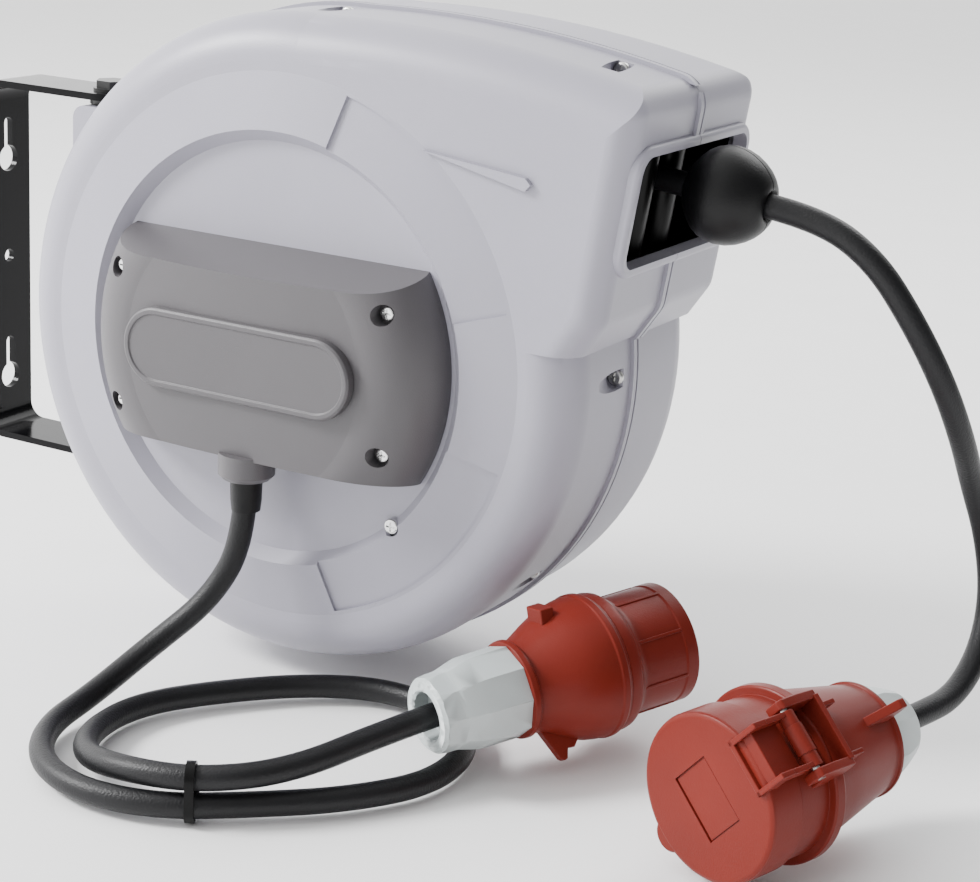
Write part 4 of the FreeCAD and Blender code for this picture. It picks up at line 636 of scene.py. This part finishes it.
# %% Body of the connector
EAR_AT = 17.5
EAR_HALF_THICKNESS = 2.2
grip = turned("outlet_connector_body", [
    (56, 10), (56, 33.4), (5.3, 33.4), (5, 34), (5, 35.5), (5.4, 36), (21, 36), (21, 39),
    (21.5, 39.5), (40, 39.5), (40.3, 43), (41, 43.9), (46, 44), (47, 43.2), (48, 38.8),
    (49.4, 37.8), (62, 36.6), (72, 34.6), (80, 33.0), (94, 30.2), (101.5, 28.6),
    (103, 28.8), (103.6, 29.6), (105.3, 29.6), (106, 28.9), (106, 10),
], sides=CONNECTOR_SIDES)
soften(grip, 0.4)
body_parts = [grip]
for side in (-1, 1):
    ear = prism("ear", [
        (33, 29), (43.6, 28.8), (43.6, 18.2), (52.5, 18), (54.5, 20), (54.5, 30), (52, 44),
        (47, 46), (33, 46),
    ], side * EAR_AT - EAR_HALF_THICKNESS, side * EAR_AT + EAR_HALF_THICKNESS)
    body_parts.append(soften(ear, 0.7))
for low, high in (
    ((36, -17, 41.5), (53, 17, 44.6)),
    ((34, -14.5, 44), (43, -12, 62)),
    ((34, 12, 44), (43, 14.5, 62)),
):
    body_parts.append(soften(slab("rib", low, high), HINGE_EDGE))
fin = prism(
    "fin", [(24, 74), (29, 78), (44, 98), (44, 102), (36, 103), (26, 101)],
    -FIN_HALF_THICKNESS, FIN_HALF_THICKNESS)
body_parts.append(soften(fin, 0.7))
grip = join("outlet_connector_body", body_parts)
seat(grip, CONNECTOR_PLACE, "plug_red", "housing", ["connector_body"])

# %% Union nut of the connector
NUT_BACK = 132.0
back_nut = turned("outlet_union_nut", [
    (106.2, 8), (106.2, 25.3), (107.4, 26.1), (115, 25.9), (124, 22.6), (129, 20.2),
    (131.4, 18.6), (NUT_BACK, 16.4), (131.6, 13.6), (130, 12.6), (124, 12.2), (124, 8),
], sides=PLUG_SIDES)
flats = turned("flats", [(105, 25.2), (116, 25.0), (133, 19.2)], sides=NUT_FLATS)
back_nut = combine(back_nut, flats, "INTERSECT")
soften(back_nut, NUT_EDGE, angle=NUT_EDGE_ANGLE)
seat(back_nut, CONNECTOR_PLACE, "nut_white", "housing", ["connector_nut"])

# %% [markdown]
# ## Raised panel of the cover
# A long panel with round ends stands a little proud of the terminal cover.  Its outline is drawn
# point by point and extruded, and the front face is then inset three times: for the sloping
# edge, for the narrow rim and for the sunk field inside it.

# %% Outline of the raised panel
PANEL_HALF_W = 72.3
PANEL_HALF_H = 21.7
ROUND_STEPS = 24
panel_outline = []
for end, start in ((1, -90), (-1, 90)):
    for step in range(ROUND_STEPS + 1):
        angle = math.radians(start + 180 * step / ROUND_STEPS)
        across = end * (PANEL_HALF_W - PANEL_HALF_H) + PANEL_HALF_H * math.cos(angle)
        panel_outline.append((across, PANEL_HALF_H * math.sin(angle)))
print("panel outline of", len(panel_outline), "points")

# %% Raised panel
PANEL_SUNK = 6
PANEL_PROUD = 1.3
PANEL_INSETS = ((1.2, 1.1), (2.2, 0), (0.5, -0.9))
cover_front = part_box("terminal_cover")[0].y / MM
panel = prism(
    "cover_raised_panel", panel_outline, cover_front + PANEL_SUNK, cover_front + PANEL_PROUD)
open_faces(panel, lambda face: face.normal.y < -0.9)
for inwards, outwards in PANEL_INSETS:
    bpy.ops.mesh.inset(thickness=inwards * MM, depth=outwards * MM)
bpy.ops.object.mode_set(mode="OBJECT")
soften(panel, 0.35, angle=20)
panel_place = Matrix.Translation(Vector((DRUM_CENTRE.x, 0, DRUM_CENTRE.z)))
seat(panel, panel_place, "cover_grey", "housing")

# %% [markdown]
# ## The stopper
# A rubber ball in two halves is clamped on the cable so that the mouth can't swallow its end.
# It is turned like the plug, and a thin slab cuts the fine groove where the halves meet.

# %% Stopper ball
EXIT_SLOPE = math.radians(6)
GROOVE_HALF_WIDTH = 0.35
exit_way = Vector((math.cos(EXIT_SLOPE), 0, -math.sin(EXIT_SLOPE)))
ball = turned("stopper_ball", [
    (-43.8, 6), (-43.8, 12.2), (-42.4, 14.6), (-39.5, 18.4), (-36.5, 21.4), (-33, 23.6),
    (-29, 25.0), (-24.5, 25.5), (-19, 25.0), (-14, 23.4), (-9.5, 21.0), (-6, 18.4),
    (-3.2, 15.5), (-1.2, 12.6), (-0.3, 10.2), (-0.1, 8.6), (-1.4, 7.4), (-3, 6),
], sides=80)
soften(ball, 0.4, angle=40)
groove = slab("groove", (-30, -GROOVE_HALF_WIDTH, -50), (30, GROOVE_HALF_WIDTH, 5))
ball = combine(ball, groove, "DIFFERENCE")
ball_place = frame_at(DRUM_CENTRE + Vector(OUTLET_ROUTE[0]), exit_way, Vector((0, 0, 1)))
seat(ball, ball_place, "stopper_rubber", "housing", ["stopper_front", "stopper_rear"])

for cord, node in ((lead, "inlet_lead"), (outlet, "outlet_cord")):
    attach(cord, "housing")
    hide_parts(node)
print("declared", lead.name, "and", outlet.name)

# %% [markdown]
# ## Floor and light
# A plain pale floor lies under the fittings.  The light is soft: a key box from the upper left
# models the drum's rim, a weak fill stands on the right and a wider box behind.  The room itself
# is brighter on the left too, as if it had a wide window there, so every round shape darkens
# towards the right.

# %% Floor
FLOOR_GAP = 0.0005
FLOOR_R = 9
FLOOR_Z = construction_box[0][2] - FLOOR_GAP
bpy.ops.object.select_all(action="DESELECT")
bpy.ops.mesh.primitive_circle_add(
    vertices=96, radius=FLOOR_R, fill_type="NGON", location=(0.25, 0, FLOOR_Z))
floor = bpy.context.object
floor.name = "floor"
floor_finish = moulded(
    "floor_paper", (0.95, 0.95, 0.95), 0.75, grain_mm=2, grain=0.03, cloud=0.01)
floor.data.materials.append(floor_finish)
print("floor at", FLOOR_Z)


# %% Soft boxes
def area_light(name, place, aim, size, power):
    """Square soft box that looks at a point."""
    data = bpy.data.lights.new(name, "AREA")
    data.size = size
    data.energy = power
    light = bpy.data.objects.new(name, data)
    light.location = place
    light.rotation_euler = (Vector(aim) - Vector(place)).to_track_quat("-Z", "Y").to_euler()
    bpy.context.scene.collection.objects.link(light)
    print(name, "light of", power, "watts")


MIDDLE = (0.3, 0, 0)
area_light("key", (-1.5, -1.2, 1.5), MIDDLE, size=0.7, power=118)
area_light("fill", (2.2, -0.6, 0.6), MIDDLE, size=1.6, power=2)
area_light("back", (0.6, 1.8, 1.6), MIDDLE, size=1.2, power=22)

# %% Light of the room
ROOM_SPAN = 0.7
ROOM_LEFT = 2.9
ROOM_RIGHT = 0.12
world = bpy.data.worlds.new("studio")
bpy.context.scene.world = world
world.use_nodes = True
room = world.node_tree
way_in = room.nodes.new("ShaderNodeTexCoord")
split = room.nodes.new("ShaderNodeSeparateXYZ")
window = room.nodes.new("ShaderNodeMapRange")
window.inputs["From Min"].default_value = -ROOM_SPAN
window.inputs["From Max"].default_value = ROOM_SPAN
window.inputs["To Min"].default_value = ROOM_LEFT
window.inputs["To Max"].default_value = ROOM_RIGHT
room.links.new(way_in.outputs["Generated"], split.inputs["Vector"])
room.links.new(split.outputs["X"], window.inputs["Value"])
room.links.new(window.outputs["Result"], room.nodes["Background"].inputs["Strength"])
room.nodes["Background"].inputs["Color"].default_value = (1, 1, 1, 1)
print("room light from", ROOM_LEFT, "to", ROOM_RIGHT)
